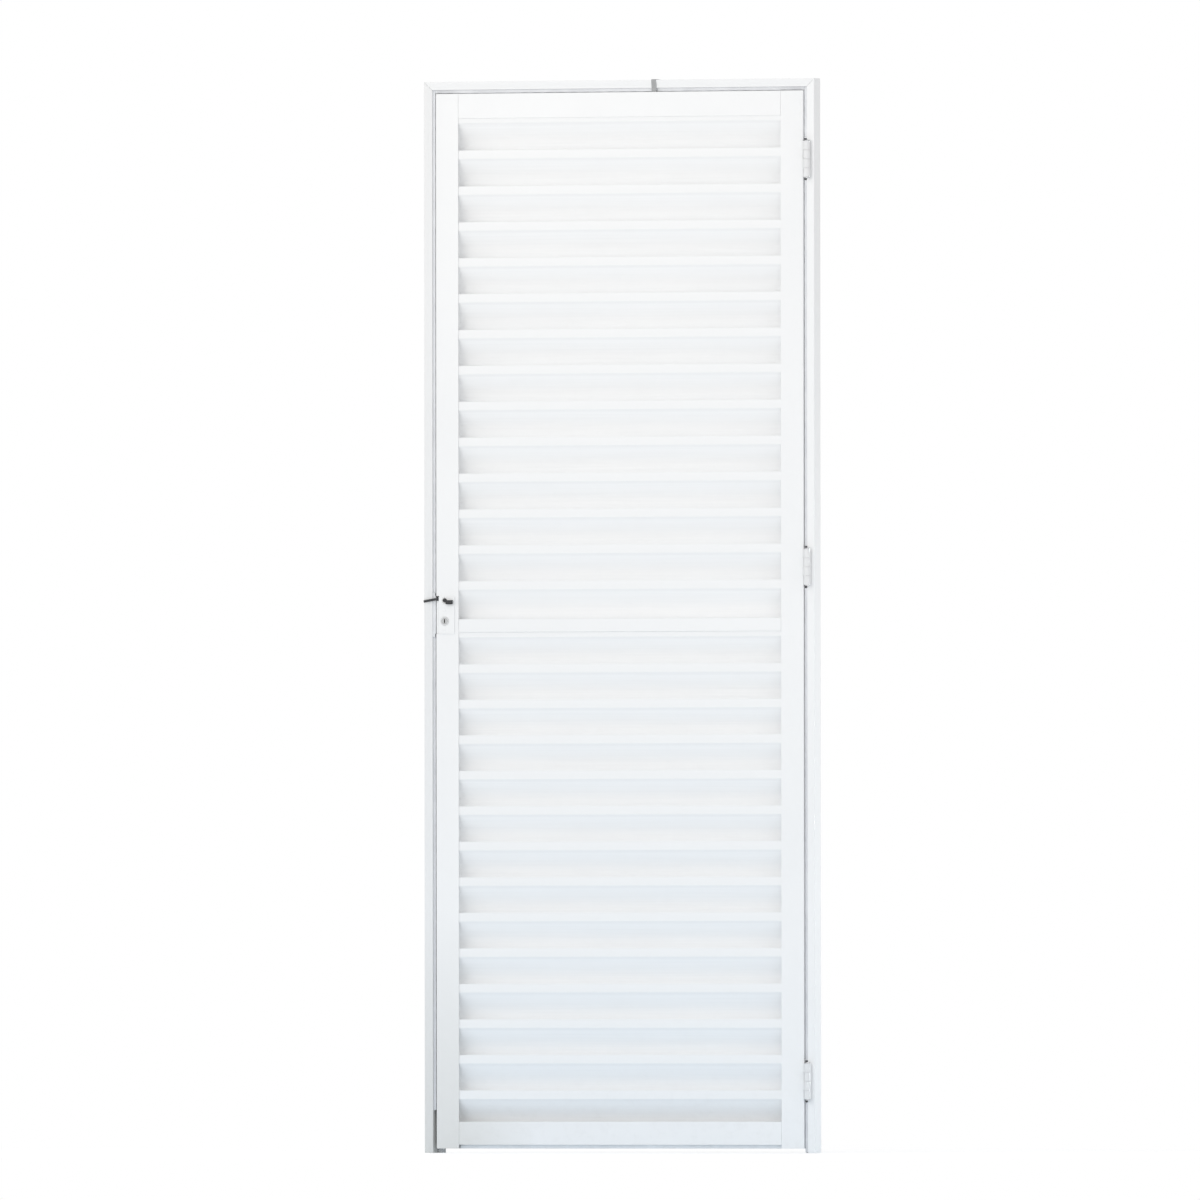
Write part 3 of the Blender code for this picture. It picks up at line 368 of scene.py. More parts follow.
def powder_coat(name, light, shade, gloss, streak=0.0, foot_shaded=False, lip=None):
    """White coat with the fine ripple of sprayed powder, a slow drift of tone and dust at the foot.

    When asked, the coat carries painted shade at the foot of the lock side, and the slats' lips in front a
    greyer tone, also painted shade.
    """
    made, tree, shader = new_material(name)
    place = place_of(tree)
    colour = tones(tree, noise(tree, place, **COAT_DRIFT), COAT_DRIFT_SWING, shade, light)
    if streak:
        rolled = noise(tree, place_of(tree, COAT_STREAK_STRETCH), **COAT_STREAK)
        darker = tuple(channel * (1.0 - streak) for channel in shade)
        colour = mixed(tree, ranged(tree, rolled, *COAT_STREAK_SWING, 0.0, 1.0), colour, darker)
    parts = add(tree, "SeparateXYZ", {0: place}).outputs
    # Painted shade: the lips in front are coloured greyer than the webs behind.
    if lip:
        ahead = ranged(tree, parts["Y"], SLAT_FRONT + SLAT_LIP_EDGE, SLAT_FRONT + SLAT_WEB_EDGE, 1.0, 0.0)
        colour = mixed(tree, ahead, colour, lip)
    # Painted shade: darkens the coat towards the foot of the lock side.
    if foot_shaded:
        lower = ranged(tree, parts["Z"], 0.0, LOCK_FOOT_SHADE_HEIGHT, LOCK_FOOT_SHADE, 0.0)
        shaded_side = ranged(tree, parts["X"], STILE_HIGH.x, STILE_HIGH.x + LOCK_FOOT_SHADE_REACH, 1.0, 0.0)
        colour = mixed(tree, times(tree, lower, shaded_side), colour, LOCK_FOOT_SHADE_COLOUR)
    low = ranged(tree, parts["Z"], 0.0, DUST_HEIGHT, 1.0, 0.0)
    specks = ranged(tree, noise(tree, place, **DUST), *DUST_SWING, 0.0, DUST_SHARE)
    colour = mixed(tree, times(tree, low, specks), colour, DUST_COLOUR)
    ripple = noise(tree, place, **COAT_RIPPLE)
    satin = noise(tree, place, **COAT_SATIN)
    rough = ranged(tree, satin, *SWING, gloss - COAT_SATIN_RANGE, gloss + COAT_SATIN_RANGE)
    wire(tree, shader, Base_Color=colour, Roughness=rough, Normal=bump(tree, ripple, COAT_RIPPLE_STRENGTH))
    return made


def rubber(name, light, shade, lip=None, low_shade=0.0):
    """Matt rubber with fine grain and pale bloom, darkened towards the floor as painted shade when asked.

    A lip, past a place across, takes a second, paler rubber tone: painted light.
    """
    made, tree, shader = new_material(name)
    place = place_of(tree)
    bloom = noise(tree, place, **RUBBER_BLOOM)
    colour = tones(tree, bloom, RUBBER_BLOOM_SWING, shade, light)
    if lip:
        across = add(tree, "SeparateXYZ", {0: place}).outputs["X"]
        second = tones(tree, bloom, RUBBER_BLOOM_SWING, LIP_SHADE, LIP_LIGHT)
        colour = mixed(tree, ranged(tree, across, lip, lip + LIP_SEAM, 0.0, 1.0), colour, second)
    # Painted shade: darkens the rubber towards the floor.
    if low_shade:
        height = add(tree, "SeparateXYZ", {0: place}).outputs["Z"]
        colour = mixed(tree, ranged(tree, height, *PILE_SHADE_HEIGHTS, low_shade, 0.0), colour, PILE_SHADE_COLOUR)
    rough = ranged(tree, bloom, *SWING, *RUBBER_ROUGHNESS)
    normal = bump(tree, noise(tree, place, **RUBBER_GRAIN), RUBBER_GRAIN_STRENGTH)
    wire(tree, shader, Base_Color=colour, Roughness=rough, Normal=normal)
    return made


def worn_metal(name, light, shade, gloss, stretch):
    """Metal with drawn lines along one way, and duller patches from handling."""
    made, tree, shader = new_material(name)
    lines = noise(tree, place_of(tree, stretch), **METAL_LINES)
    patches = noise(tree, place_of(tree), **METAL_PATCHES)
    colour = tones(tree, patches, SWING, shade, light)
    rough = ranged(tree, patches, *SWING, gloss + METAL_ROUGHER, gloss - METAL_SMOOTHER)
    normal = bump(tree, lines, METAL_LINES_STRENGTH)
    wire(tree, shader, Base_Color=colour, Roughness=rough, Metallic=1.0, Normal=normal)
    return made


def nylon(name, light, shade):
    """Moulded nylon with a fine grain and a soft scuffed sheen."""
    made, tree, shader = new_material(name)
    place = place_of(tree)
    scuffs = noise(tree, place, **NYLON_SCUFFS)
    colour = tones(tree, scuffs, NYLON_SCUFFS_SWING, shade, light)
    rough = ranged(tree, scuffs, *SWING, *NYLON_ROUGHNESS)
    normal = bump(tree, noise(tree, place, **NYLON_GRAIN), NYLON_GRAIN_STRENGTH)
    wire(tree, shader, Base_Color=colour, Roughness=rough, Normal=normal)
    return made


FRAME_COAT = powder_coat("frame_coat", (0.890, 0.893, 0.898), (0.868, 0.872, 0.879), 0.38)
# Painted shade: the lock jamb takes a greyer copy of the frame coat, darkened further at its foot.
LOCK_JAMB_PAINTED_SHADE_COAT = powder_coat(
    "lock_jamb_painted_shade_coat", (0.836, 0.838, 0.841), (0.815, 0.818, 0.823), 0.38, foot_shaded=True,
)
# The leaf's coat also carries painted shade at the foot of the lock side.
LEAF_COAT = powder_coat("leaf_coat", (0.892, 0.895, 0.900), (0.872, 0.876, 0.883), 0.36, foot_shaded=True)
# Painted light: the slats' coat is whiter than the leaf's, which lifts their shaded webs; their lips carry
# painted shade.
SLAT_PAINTED_LIGHT_COAT = powder_coat(
    "slat_painted_light_coat", (0.945, 0.947, 0.950), (0.929, 0.932, 0.937), 0.36, streak=0.015, lip=SLAT_LIP_PAINTED_SHADE,
)
# Painted shade: the hinges take a greyer copy of the white coat.
HINGE_PAINTED_SHADE_COAT = powder_coat("hinge_painted_shade_coat", (0.800, 0.802, 0.806), (0.765, 0.768, 0.774), 0.42)
SEAL = rubber("seal_grey", (0.60, 0.61, 0.63), (0.46, 0.47, 0.49))
# Painted shade: the lock side's seal is dark where it shows in the gap; its lip behind the leaf is pale as
# painted light.
LOCK_SEAL_PAINTED_SHADE_AND_LIGHT = rubber(
    "lock_seal_painted_shade_and_light", (0.22, 0.225, 0.235), (0.15, 0.155, 0.165), lip=STILE_LOW.x - LIP_OFFSET,
)
SWEEP = rubber("sweep_grey", (0.92, 0.925, 0.93), (0.84, 0.845, 0.855))
ZINC = worn_metal("zinc_steel", (0.66, 0.66, 0.67), (0.52, 0.53, 0.55), 0.36, (4.0, 40.0, 4.0))
PLATED = worn_metal("plated_brass", (0.775, 0.79, 0.80), (0.695, 0.71, 0.72), 0.34, (40.0, 4.0, 40.0))
PLUG = worn_metal("key_plug_brass", (0.58, 0.59, 0.595), (0.48, 0.49, 0.495), 0.38, (40.0, 4.0, 40.0))
# Painted shade: near-black steel for the inside of the keyway.
KEYWAY_PAINTED_SHADE_STEEL = worn_metal("keyway_painted_shade_steel", (0.110, 0.100, 0.090), (0.060, 0.055, 0.050), 0.55, (4.0, 40.0, 4.0))
# Painted shade: the pile darkens towards the floor.
PILE = rubber("pile_grey", (0.84, 0.85, 0.87), (0.735, 0.745, 0.77), low_shade=0.13)
BLACK_NYLON = nylon("black_nylon", (0.050, 0.051, 0.055), (0.026, 0.026, 0.029))
WHITE_NYLON = nylon("white_nylon", (0.860, 0.860, 0.855), (0.800, 0.800, 0.795))
GREY_NYLON = nylon("grey_nylon", (0.415, 0.418, 0.423), (0.335, 0.338, 0.344))

FINISHES = (
    (FRAME_COAT, ("hinge_jamb", "head_jamb", "strike_plate")),
    (LOCK_JAMB_PAINTED_SHADE_COAT, ("lock_jamb",)),
    (LEAF_COAT, ("lock_stile", "hinge_stile", "top_rail", "mid_rail", "bottom_rail")),
    (LEAF_COAT, ("front_escutcheon", "rear_escutcheon")),
    (SEAL, ("hinge_side_seal", "head_seal")),
    (LOCK_SEAL_PAINTED_SHADE_AND_LIGHT, ("lock_side_seal",)),
    (SWEEP, ("bottom_sweep",)),
    (ZINC, ("lock_faceplate", "lock_case", "latch_bolt", "latch_spring")),
    (ZINC, ("lock_follower", "dead_bolt")),
    (PLATED, ("lock_cylinder",)),
    (PLUG, ("key_plug",)),
    (SLAT_PAINTED_LIGHT_COAT, tuple(name for name in NODES if "_slat_" in name)),
    (HINGE_PAINTED_SHADE_COAT, tuple(name for name in NODES if "hinge_" in name and name.endswith("_plate"))),
    (ZINC, tuple(name for name in NODES if name.endswith("_hinge_pin"))),
)


# Solids: welded, smooth over their bends, with a fine rounded edge

def smoothing_group():
    """Geometry nodes that weld a solid's facets and shade its bends smooth."""
    group = bpy.data.node_groups.new("weld_and_smooth", "GeometryNodeTree")
    group.interface.new_socket("Geometry", in_out="INPUT", socket_type="NodeSocketGeometry")
    group.interface.new_socket("Geometry", in_out="OUTPUT", socket_type="NodeSocketGeometry")
    kinds = (
        "NodeGroupInput",
        "GeometryNodeMergeByDistance",
        "GeometryNodeRemoveAttribute",
        "GeometryNodeSetShadeSmooth",
        "GeometryNodeSetShadeSmooth",
        "NodeGroupOutput",
    )
    chain = [group.nodes.new(kind) for kind in kinds]
    for before, after in zip(chain, chain[1:]):
        group.links.new(before.outputs[0], after.inputs[0])
    weld, forget, faces, edges = chain[1:5]
    weld.inputs["Distance"].default_value = WELD_DISTANCE
    forget.inputs["Name"].default_value = "custom_normal"
    faces.domain = "FACE"
    edges.domain = "EDGE"
    angle = group.nodes.new("GeometryNodeInputMeshEdgeAngle")
    bend = group.nodes.new("FunctionNodeCompare")
    bend.operation = "LESS_THAN"
    bend.inputs["B"].default_value = SMOOTH_ANGLE
    group.links.new(angle.outputs["Unsigned Angle"], bend.inputs["A"])
    group.links.new(bend.outputs["Result"], edges.inputs["Shade Smooth"])
    return group


def round_edges(piece, width):
    edge = piece.modifiers.new("rounded_edges", "BEVEL")
    edge.width = width
    edge.segments = EDGE_SEGMENTS
    edge.limit_method = "ANGLE"
    edge.angle_limit = SMOOTH_ANGLE
    edge.harden_normals = True


def finish_solids():
    group = smoothing_group()
    for finish, names in FINISHES:
        for name in names:
            piece = NODES[name]
            piece.data.materials.clear()
            piece.data.materials.append(finish)
            piece.modifiers.new("weld_and_smooth", "NODES").node_group = group
            if name not in CUT_PLATES:
                round_edges(piece, MITRE_EDGE_WIDTH if name in MITRED else EDGE_WIDTH)


# New pieces

def piece_from(name, work, finish, body):
    """Turns a bmesh into a piece that rides on a body."""
    mesh = bpy.data.meshes.new(name)
    bmesh.ops.recalc_face_normals(work, faces=work.faces)
    work.to_mesh(mesh)
    work.free()
    mesh.shade_smooth()
    mesh.set_sharp_from_angle(angle=SMOOTH_ANGLE)
    mesh.materials.append(finish)
    piece = bpy.data.objects.new(name, mesh)
    bpy.context.scene.collection.objects.link(piece)
    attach(piece, body)


def filleted(corners, radius):
    """A path through corners, each rounded off."""
    corners = [Vector(corner) for corner in corners]
    path = [corners[0]]
    for before, corner, after in zip(corners, corners[1:], corners[2:]):
        back = before - corner
        ahead = after - corner
        cut = min(radius, FILLET_LIMIT * back.length, FILLET_LIMIT * ahead.length)
        start = corner + back.normalized() * cut
        end = corner + ahead.normalized() * cut
        for step in range(FILLET_STEPS + 1):
            share = step / FILLET_STEPS
            path.append(start.lerp(corner, share).lerp(corner.lerp(end, share), share))
    path.append(corners[-1])
    return path


def bridge(work, first, second):
    for index in range(len(first)):
        after = (index + 1) % len(first)
        work.faces.new((first[index], first[after], second[after], second[index]))


def close_rings(work, rings):
    """Skins a row of rings and caps both ends."""
    for ring, following in zip(rings, rings[1:]):
        bridge(work, ring, following)
    work.faces.new(rings[0])
    work.faces.new(list(reversed(rings[-1])))


def add_strap(work, path, across, width, thickness):
    """Sweeps a flat strap with soft edges along a path; across is the way its width lies at the start."""
    half = width / 2
    thin = thickness / 2
    soft = thickness * STRAP_SOFT
    section = [
        (half - soft, -thin), (half, -thin + soft), (half, thin - soft), (half - soft, thin),
        (-half + soft, thin), (-half, thin - soft), (-half, -thin + soft), (-half + soft, -thin),
    ]
    wide = Vector(across)
    rings = []
    for index, point in enumerate(path):
        along = path[min(index + 1, len(path) - 1)] - path[max(index - 1, 0)]
        along.normalize()
        wide = (wide - along * wide.dot(along)).normalized()
        out = along.cross(wide)
        rings.append([work.verts.new(point + wide * u + out * v) for u, v in section])
    close_rings(work, rings)


def add_block(work, centre, size, soft):
    """A small moulded block with soft edges."""
    placed = Matrix.Translation(centre) @ Matrix.Diagonal((*size, 1.0))
    made = bmesh.ops.create_cube(work, size=1.0, matrix=placed)
    edges = list({edge for vertex in made["verts"] for edge in vertex.link_edges})
    bmesh.ops.bevel(
        work, geom=made["verts"] + edges, offset=soft,
        segments=BLOCK_SEGMENTS, profile=BLOCK_PROFILE, affect="EDGES",
    )


def stepped(places, steps):
    """Places, each moved on by its own step."""
    return [tuple(a + b for a, b in zip(place, step)) for place, step in zip(places, steps)]


def build_lock_tie():
    """The black tie that holds the leaf shut, cut at the leaf's edge.

    One half goes round the lock jamb, and the other through the spindle hole to the tie's head.
    """
    off = TIE_THICKNESS / 2 + TIE_PLAY
    side = FRAME_LOW.x - off
    lip = FRAME_LOW.y - off
    back = FRAME_HIGH.y + off
    stop_edge = FRAME_HIGH.x + off
    plate = PLATE_LOW.y - off
    rear = REAR_PLATE_HIGH.y + off
    hole_x = LOCK_AXIS_X
    hole_z = SPINDLE_HEIGHT

    work = bmesh.new()
    places = (
        (PLATE_LOW.x, FRONT, hole_z),
        (PLATE_LOW.x, plate, hole_z),
        (side, lip, hole_z),
        (side, back, hole_z),
        (stop_edge, back, hole_z),
        (stop_edge, back, hole_z),
    )
    path = filleted(stepped(places, TIE_JAMB_STEPS), TIE_BEND)
    add_strap(work, path, (0.0, 0.0, 1.0), TIE_WIDTH, TIE_THICKNESS)
    piece_from("lock_tie_on_jamb", work, BLACK_NYLON, "frame")

    work = bmesh.new()
    along, before, up = TIE_HEAD_PLACE
    head = Vector((hole_x + along, PLATE_LOW.y - before, hole_z + up))
    places = (
        (stop_edge, rear, hole_z),
        (hole_x, rear, hole_z),
        (hole_x, REAR_PLATE_HIGH.y, hole_z),
        (hole_x, FRONT, hole_z),
        (hole_x, plate, hole_z),
        head,
    )
    path = filleted(stepped(places, TIE_LEAF_STEPS), TIE_BEND)
    add_strap(work, path, (0.0, 0.0, 1.0), TIE_WIDTH, TIE_THICKNESS)
    add_block(work, head, TIE_HEAD, TIE_HEAD_SOFT)
    tail = [head + Vector(step) for step in TIE_TAIL]
    add_strap(work, tail, (0.0, 0.0, 1.0), TIE_WIDTH, TIE_THICKNESS)
    piece_from("lock_tie_on_leaf", work, BLACK_NYLON, "leaf")


def build_head_strap():
    """The grey strap over the head, tucked in along the top of the leaf and under the stop behind."""
    off = HEAD_STRAP_THICKNESS / 2 + TIE_PLAY
    inner = HEAD_INNER - off
    leaf_top = STILE_HIGH.z + off
    lip = HEAD_LOW.y - off
    back = HEAD_HIGH.y + off
    corners = [
        (HEAD_STRAP_X, FRONT + HEAD_STRAP_TUCK, leaf_top),
        (HEAD_STRAP_X, FRONT - off, leaf_top),
        (HEAD_STRAP_X, FRONT - off, inner),
        (HEAD_STRAP_X, lip, HEAD_HIGH.z + off),
        (HEAD_STRAP_X, back, HEAD_HIGH.z + off),
        (HEAD_STRAP_X, back, HEAD_LOW.z - off),
        (HEAD_STRAP_X, back - HEAD_STRAP_RETURN, HEAD_LOW.z - off),
    ]
    work = bmesh.new()
    path = filleted(corners, TIE_BEND)
    add_strap(work, path, (1.0, 0.0, 0.0), HEAD_STRAP_WIDTH, HEAD_STRAP_THICKNESS)
    piece_from("head_strap", work, GREY_NYLON, "frame")


def add_pile(work, start, end, rise, depth):
    """A pile strip on a wall of the frame: a flat base, and tufts whose tips run uneven along it."""
    start, end, rise = Vector(start), Vector(end), Vector(rise)
    back = Vector((0.0, depth, 0.0))
    count = max(2, round((end - start).length / PILE_TUFT))
    base = rise.normalized() * PILE_BASE
    rings = []
    for step in range(count + 1):
        here = start.lerp(end, step / count)
        tip = rise * (PILE_TIP - PILE_WAVE * math.sin(PILE_WAVE_STEP * step) - PILE_WAVE * (-1) ** step)
        ring = [here + base * low + tip * high + back * deep for low, high, deep in PILE_SECTION]
        rings.append([work.verts.new(point) for point in ring])
    close_rings(work, rings)


def build_pile():
    """Grey pile strips in the gap round the leaf.

    They are set forward past the strike, left out at the hinges, and pressed flatter over the head strap.
    """
    front = FRONT + PILE_SETBACK
    past_strike = FRONT + PILE_LOCK_SETBACK
    top = HEAD_INNER - TIE_PLAY
    inner = HINGE_JAMB_INNER - TIE_PLAY
    strike_low, strike_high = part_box("strike_plate")
    below = strike_low.z - PILE_END_SPACE
    above = strike_high.z + PILE_END_SPACE
    recess_low = strike_low.z + PILE_RECESS_SPACE
    recess_high = strike_high.z - PILE_RECESS_SPACE

    work = bmesh.new()
    for low, high, y, depth, height in (
        (PILE_FOOT, below, front, PILE_DEPTH, PILE_LOCK_SIDE_HEIGHT),
        (below, recess_low, past_strike, PILE_LOCK_DEPTH, PILE_LOCK_SIDE_HEIGHT),
        (recess_low, recess_high, past_strike, PILE_LOCK_DEPTH, PILE_LOCK_HEIGHT),
        (recess_high, above, past_strike, PILE_LOCK_DEPTH, PILE_LOCK_SIDE_HEIGHT),
        (above, top, front, PILE_DEPTH, PILE_LOCK_SIDE_HEIGHT),
    ):
        add_pile(work, (-inner, y, low), (-inner, y, high), (height, 0.0, 0.0), depth)
    piece_from("lock_side_pile", work, PILE, "frame")

    work = bmesh.new()
    rise = (-PILE_HINGE_SIDE_HEIGHT, 0.0, 0.0)
    low = PILE_HINGE_SIDE_FOOT
    for hinge in ("bottom", "middle", "top"):
        hinge_low, hinge_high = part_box(f"{hinge}_hinge_frame_plate")
        add_pile(work, (inner, front, low), (inner, front, hinge_low.z - PILE_END_SPACE), rise, PILE_DEPTH)
        low = hinge_high.z + PILE_END_SPACE
    add_pile(work, (inner, front, low), (inner, front, top), rise, PILE_DEPTH)
    piece_from("hinge_side_pile", work, PILE, "frame")

    work = bmesh.new()
    left = -inner + PILE_LOCK_SIDE_HEIGHT
    right = inner - PILE_HINGE_SIDE_HEIGHT
    half = HEAD_STRAP_WIDTH / 2
    beside = half + PILE_STRAP_SPACE
    over_strap = top - STILE_HIGH.z - HEAD_STRAP_THICKNESS - 2 * TIE_PLAY
    for start, end, height in (
        (left, HEAD_STRAP_X - beside, PILE_HEAD_HEIGHT),
        (HEAD_STRAP_X - half, HEAD_STRAP_X + half, over_strap),
        (HEAD_STRAP_X + beside, right, PILE_HEAD_HEIGHT),
    ):
        add_pile(work, (start, front, top), (end, front, top), (0.0, 0.0, -height), PILE_DEPTH)
    piece_from("head_pile", work, PILE, "frame")


def build_lock_rim():
    """A folded rim on the faceplate, which closes the stile's recess before the bolts."""
    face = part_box("lock_faceplate")[0].x - TIE_PLAY
    edge = STILE_LOW.x + TIE_PLAY
    front = FRONT + RIM_SETBACK
    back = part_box("latch_bolt")[0].y - RIM_BOLT_SPACE
    outline = (
        (edge, front), (face, front), (face, back),
        (face - RIM_SHEET, back), (face - RIM_SHEET, front + RIM_SHEET), (edge, front + RIM_SHEET),
    )
    work = bmesh.new()
    rings = []
    for height in (PLATE_LOW.z + TIE_PLAY, SPINDLE_HEIGHT - RIM_BELOW_SPINDLE):
        rings.append([work.verts.new((x, y, height)) for x, y in outline])
    close_rings(work, rings)
    bmesh.ops.bevel(work, geom=list(work.edges), offset=EDGE_WIDTH, segments=EDGE_SEGMENTS, affect="EDGES")
    piece_from("lock_rim", work, LEAF_COAT, "leaf")


def build_bushing():
    """The nylon bushing in the spindle hole of each cover plate."""
    for name, face, way in (
        ("front_bushing", PLATE_LOW.y, -1.0),
        ("rear_bushing", REAR_PLATE_HIGH.y, 1.0),
    ):
        work = bmesh.new()
        rings = []
        for radius, out in BUSHING_PROFILE:
            ring = []
            for step in range(BUSHING_SEGMENTS):
                angle = 2 * math.pi * step / BUSHING_SEGMENTS
                x = LOCK_AXIS_X + radius * math.cos(angle)
                z = SPINDLE_HEIGHT + radius * math.sin(angle)
                ring.append(work.verts.new((x, face + way * out, z)))
            rings.append(ring)
        for ring, following in zip(rings, rings[1:] + rings[:1]):
            bridge(work, ring, following)
        piece_from(name, work, WHITE_NYLON, "leaf")


def build_keyway():
    """The wards and a floor inside the keyway, near black as painted shade, seen through its mouth."""
    low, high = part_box("key_plug")
    half = KEYWAY_WIDTH / 2 - KEYWAY_PLAY
    tall = KEYWAY_HEIGHT / 2 - KEYWAY_PLAY
    for name, face, way in (("front_wards", low.y, 1.0), ("rear_wards", high.y, -1.0)):
        work = bmesh.new()
        for left, start, depth in zip((-half, WARD_SIDE, -half), WARD_STARTS, WARD_DEPTHS):
            size = (half - left, WARD_THICKNESS, tall * WARD_HEIGHT)
            centre = Vector((
                LOCK_AXIS_X + (left + half) / 2,
                face + way * (depth + WARD_THICKNESS / 2),
                KEY_HEIGHT + tall * start + size[2] / 2,
            ))
            add_block(work, centre, size, WARD_SOFT)
        floor = Vector((LOCK_AXIS_X, face + way * KEYWAY_FLOOR_DEPTH, KEY_HEIGHT))
        add_block(work, floor, (2 * half, KEYWAY_FLOOR, 2 * tall), KEYWAY_FLOOR_SOFT)
        piece_from(name, work, KEYWAY_PAINTED_SHADE_STEEL, "key_plug")


def add_screw(work, place, outwards):
    """A low screw head with a cross recess, its seat at place."""
    turn = Vector((0.0, 0.0, 1.0)).rotation_difference(Vector(outwards)).to_matrix().to_4x4()
    matrix = Matrix.Translation(Vector(place) + Vector(outwards) * SCREW_OFF) @ turn
    reach = SCREW_CROSS_REACH
    half = SCREW_CROSS_HALF
    cross = []
    for quarter in range(4):
        spin = Matrix.Rotation(quarter * math.pi / 2, 2)
        cross += [spin @ Vector(point) for point in ((reach, -half), (reach, half), (half, half))]

    def ring(radius, height):
        points = []
        for step in range(SCREW_SEGMENTS):
            angle = 2 * math.pi * step / SCREW_SEGMENTS
            points.append((radius * math.cos(angle), radius * math.sin(angle), height))
        return [work.verts.new(matrix @ Vector(point)) for point in points]

    def crossed(share, height):
        return [work.verts.new(matrix @ Vector((p.x * share, p.y * share, height))) for p in cross]

    rise = SCREW_RISE
    seat = ring(SCREW_RADIUS, 0.0)
    shoulder = ring(SCREW_RADIUS, rise * SCREW_SHOULDER)
    crown = ring(SCREW_RADIUS * SCREW_CROWN, rise)
    work.faces.new(list(reversed(seat)))
    bridge(work, seat, shoulder)
    bridge(work, shoulder, crown)
    mouth = crossed(1.0, rise)
    floor = crossed(SCREW_CROSS_FLOOR, rise - SCREW_CROSS_DEPTH)
    bridge(work, floor, mouth)
    work.faces.new(floor)
    rims = []
    for loop in (crown, mouth):
        for index in range(len(loop)):
            pair = (loop[index], loop[(index + 1) % len(loop)])
            rims.append(work.edges.get(pair))
    bmesh.ops.triangle_fill(work, use_beauty=True, edges=rims)


def build_screws(name, places, outwards, finish, body):
    work = bmesh.new()
    for place in places:
        add_screw(work, place, outwards)
    piece_from(name, work, finish, body)


def build_lock_screws():
    upper = (SPINDLE_HEIGHT + KEY_HEIGHT) / 2
    lower = (PLATE_LOW.z + CYLINDER_LOW.z) / 2
    for name, face, outwards in (
        ("front_plate_screws", PLATE_LOW.y, (0.0, -1.0, 0.0)),
        ("rear_plate_screws", REAR_PLATE_HIGH.y, (0.0, 1.0, 0.0)),
    ):
        places = [(LOCK_AXIS_X, face, height) for height in (upper, lower)]
        build_screws(name, places, outwards, LEAF_COAT, "leaf")
    for name, node, side, body in (
        ("faceplate_screws", "lock_faceplate", -1.0, "leaf"),
        ("strike_screws", "strike_plate", 1.0, "frame"),
    ):
        low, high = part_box(node)
        face = low.x if side < 0 else high.x
        middle = (low.y + high.y) / 2
        between = (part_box("latch_bolt")[0].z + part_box("dead_bolt")[1].z) / 2
        places = [(face, middle, height) for height in (high.z - FACEPLATE_SCREW_SPACE, between)]
        build_screws(name, places, (side, 0.0, 0.0), ZINC, body)


def build_hinge_screws():
    for hinge in ("top", "middle", "bottom"):
        for plate, body, face, side in (
            ("door", "leaf", HINGE_STILE_EDGE + HINGE_PLATE_RISE, 1.0),
            ("frame", "frame", HINGE_JAMB_INNER - HINGE_PLATE_RISE, -1.0),
        ):
            low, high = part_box(f"{hinge}_hinge_{plate}_plate")
            middle = (low.z + high.z) / 2
            places = [(face, FRONT + depth, middle + height) for height, depth in HINGE_SCREWS]
            name = f"{hinge}_hinge_{plate}_screws"
            build_screws(name, places, (side, 0.0, 0.0), ZINC, body)


# Stage, light and camera

def build_floor():
    """A white floor that keeps the door's shadow near it and turns plain white farther off."""
    work = bmesh.new()
    bmesh.ops.create_circle(work, cap_ends=True, segments=FLOOR_SEGMENTS, radius=FLOOR_RADIUS)
    mesh = bpy.data.meshes.new("floor")
    work.to_mesh(mesh)
    work.free()
    floor = bpy.data.objects.new("floor", mesh)
    floor.location.z = FLOOR_HEIGHT
    bpy.context.scene.collection.objects.link(floor)
    made, tree, shader = new_material("floor_white")
    place = place_of(tree)
    distance = add(tree, "VectorMath", {0: place}, operation="LENGTH").outputs["Value"]
    far = ranged(tree, distance, FLOOR_NEAR, FLOOR_FAR, 0.0, 1.0)
    colour = tones(tree, noise(tree, place, **FLOOR_GRAIN), SWING, FLOOR_SHADE, FLOOR_LIGHT)
    wire(
        tree, shader,
        Base_Color=colour, Roughness=FLOOR_ROUGHNESS, Specular_IOR_Level=FLOOR_SPECULAR,
    )
    white = add(tree, "Emission", {"Color": WHITE, "Strength": 1.0}).outputs[0]
    lift = add(tree, "Emission", {"Color": WHITE, "Strength": FLOOR_LIFT}).outputs[0]
    near = add(tree, "AddShader", {0: shader.outputs[0], 1: lift}).outputs[0]
    seen = add(tree, "MixShader", {0: far, 1: near, 2: white}).outputs[0]
    reach = ranged(tree, distance, FLOOR_NEAR, FLOOR_BOUNCE_EDGE, 0.0, 1.0)
    tint = mixed(tree, reach, FLOOR_BOUNCE_NEAR, FLOOR_BOUNCE_FAR)
    bounce = add(tree, "BsdfDiffuse", {"Color": tint}).outputs[0]
    direct = any_ray(tree, "Is Camera Ray", "Is Glossy Ray")
    both = add(tree, "MixShader", {0: direct, 1: bounce, 2: seen}).outputs[0]
    tree.links.new(both, tree.nodes["Material Output"].inputs["Surface"])
    mesh.materials.append(made)


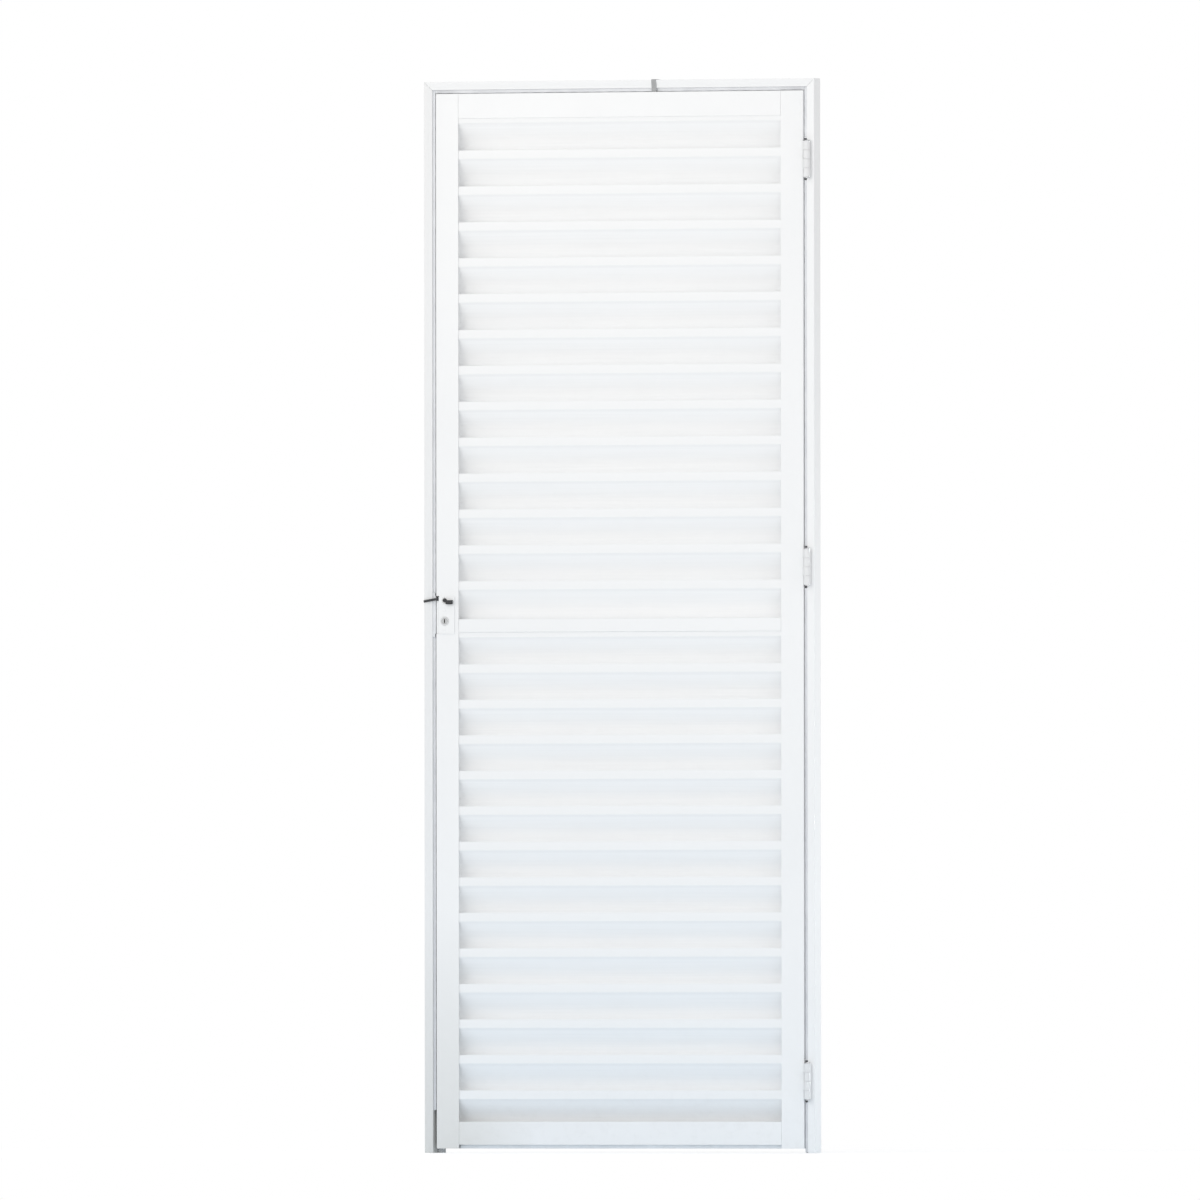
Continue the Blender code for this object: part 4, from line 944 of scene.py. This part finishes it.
def build_world():
    """White to the eye and in reflections; a soft sky that is brighter on the left for the rest."""
    world = bpy.data.worlds.new("studio")
    bpy.context.scene.world = world
    world.use_nodes = True
    tree = world.node_tree
    tree.nodes.clear()
    way = add(tree, "TexCoord").outputs["Generated"]
    slant = add(tree, "VectorMath", {0: way, 1: SKY_SLANT}, operation="DOT_PRODUCT").outputs["Value"]
    level = add(tree, "Math", {0: slant, 1: SKY_LEVEL}, operation="ADD").outputs[0]
    sky = add(tree, "Background", {"Color": (*SKY_COLOUR, 1.0), "Strength": level}).outputs[0]
    white = add(tree, "Background", {"Color": WHITE, "Strength": 1.0}).outputs[0]
    seen = any_ray(tree, "Is Camera Ray", "Is Glossy Ray", "Is Transmission Ray")
    both = add(tree, "MixShader", {0: seen, 1: sky, 2: white}).outputs[0]
    output = add(tree, "OutputWorld")
    tree.links.new(both, output.inputs["Surface"])


def build_lamp(name, place, aim, size, power, colour, spread=math.pi):
    light = bpy.data.lights.new(name, "AREA")
    light.shape = "DISK"
    light.size = size
    light.spread = spread
    light.energy = power
    light.color = colour
    lamp = bpy.data.objects.new(name, light)
    lamp.location = place
    lamp.rotation_euler = (Vector(aim) - Vector(place)).to_track_quat("-Z", "Y").to_euler()
    lamp.visible_camera = False
    bpy.context.scene.collection.objects.link(lamp)


def build_camera():
    flat = math.cos(CAMERA_ELEVATION)
    back = Vector((
        math.sin(CAMERA_AZIMUTH) * flat,
        -math.cos(CAMERA_AZIMUTH) * flat,
        math.sin(CAMERA_ELEVATION),
    ))
    level = Vector((math.cos(CAMERA_AZIMUTH), math.sin(CAMERA_AZIMUTH), 0.0))
    upright = back.cross(level)
    right = level * math.cos(CAMERA_ROLL) + upright * math.sin(CAMERA_ROLL)
    up = back.cross(right)
    aim = Vector((AIM_ACROSS * level.x, AIM_ACROSS * level.y, AIM_HEIGHT))
    lens = bpy.data.cameras.new("camera")
    lens.sensor_width = CAMERA_SENSOR
    lens.lens = CAMERA_SENSOR * CAMERA_DISTANCE * PIXELS_PER_METRE / PHOTO_SIDE
    lens.clip_start, lens.clip_end = CAMERA_CLIP
    camera = bpy.data.objects.new("camera", lens)
    turn = Matrix((right, up, back)).transposed().to_4x4()
    camera.matrix_world = Matrix.Translation(aim + back * CAMERA_DISTANCE) @ turn
    bpy.context.scene.collection.objects.link(camera)
    bpy.context.scene.camera = camera


finish_solids()
build_pile()
build_lock_rim()
build_bushing()
build_lock_tie()
build_head_strap()
build_keyway()
build_lock_screws()
build_hinge_screws()
build_floor()
build_world()
for lamp_name, lamp_settings in LAMPS.items():
    build_lamp(lamp_name, **lamp_settings)
build_camera()
bpy.context.scene.view_settings.view_transform = "Standard"
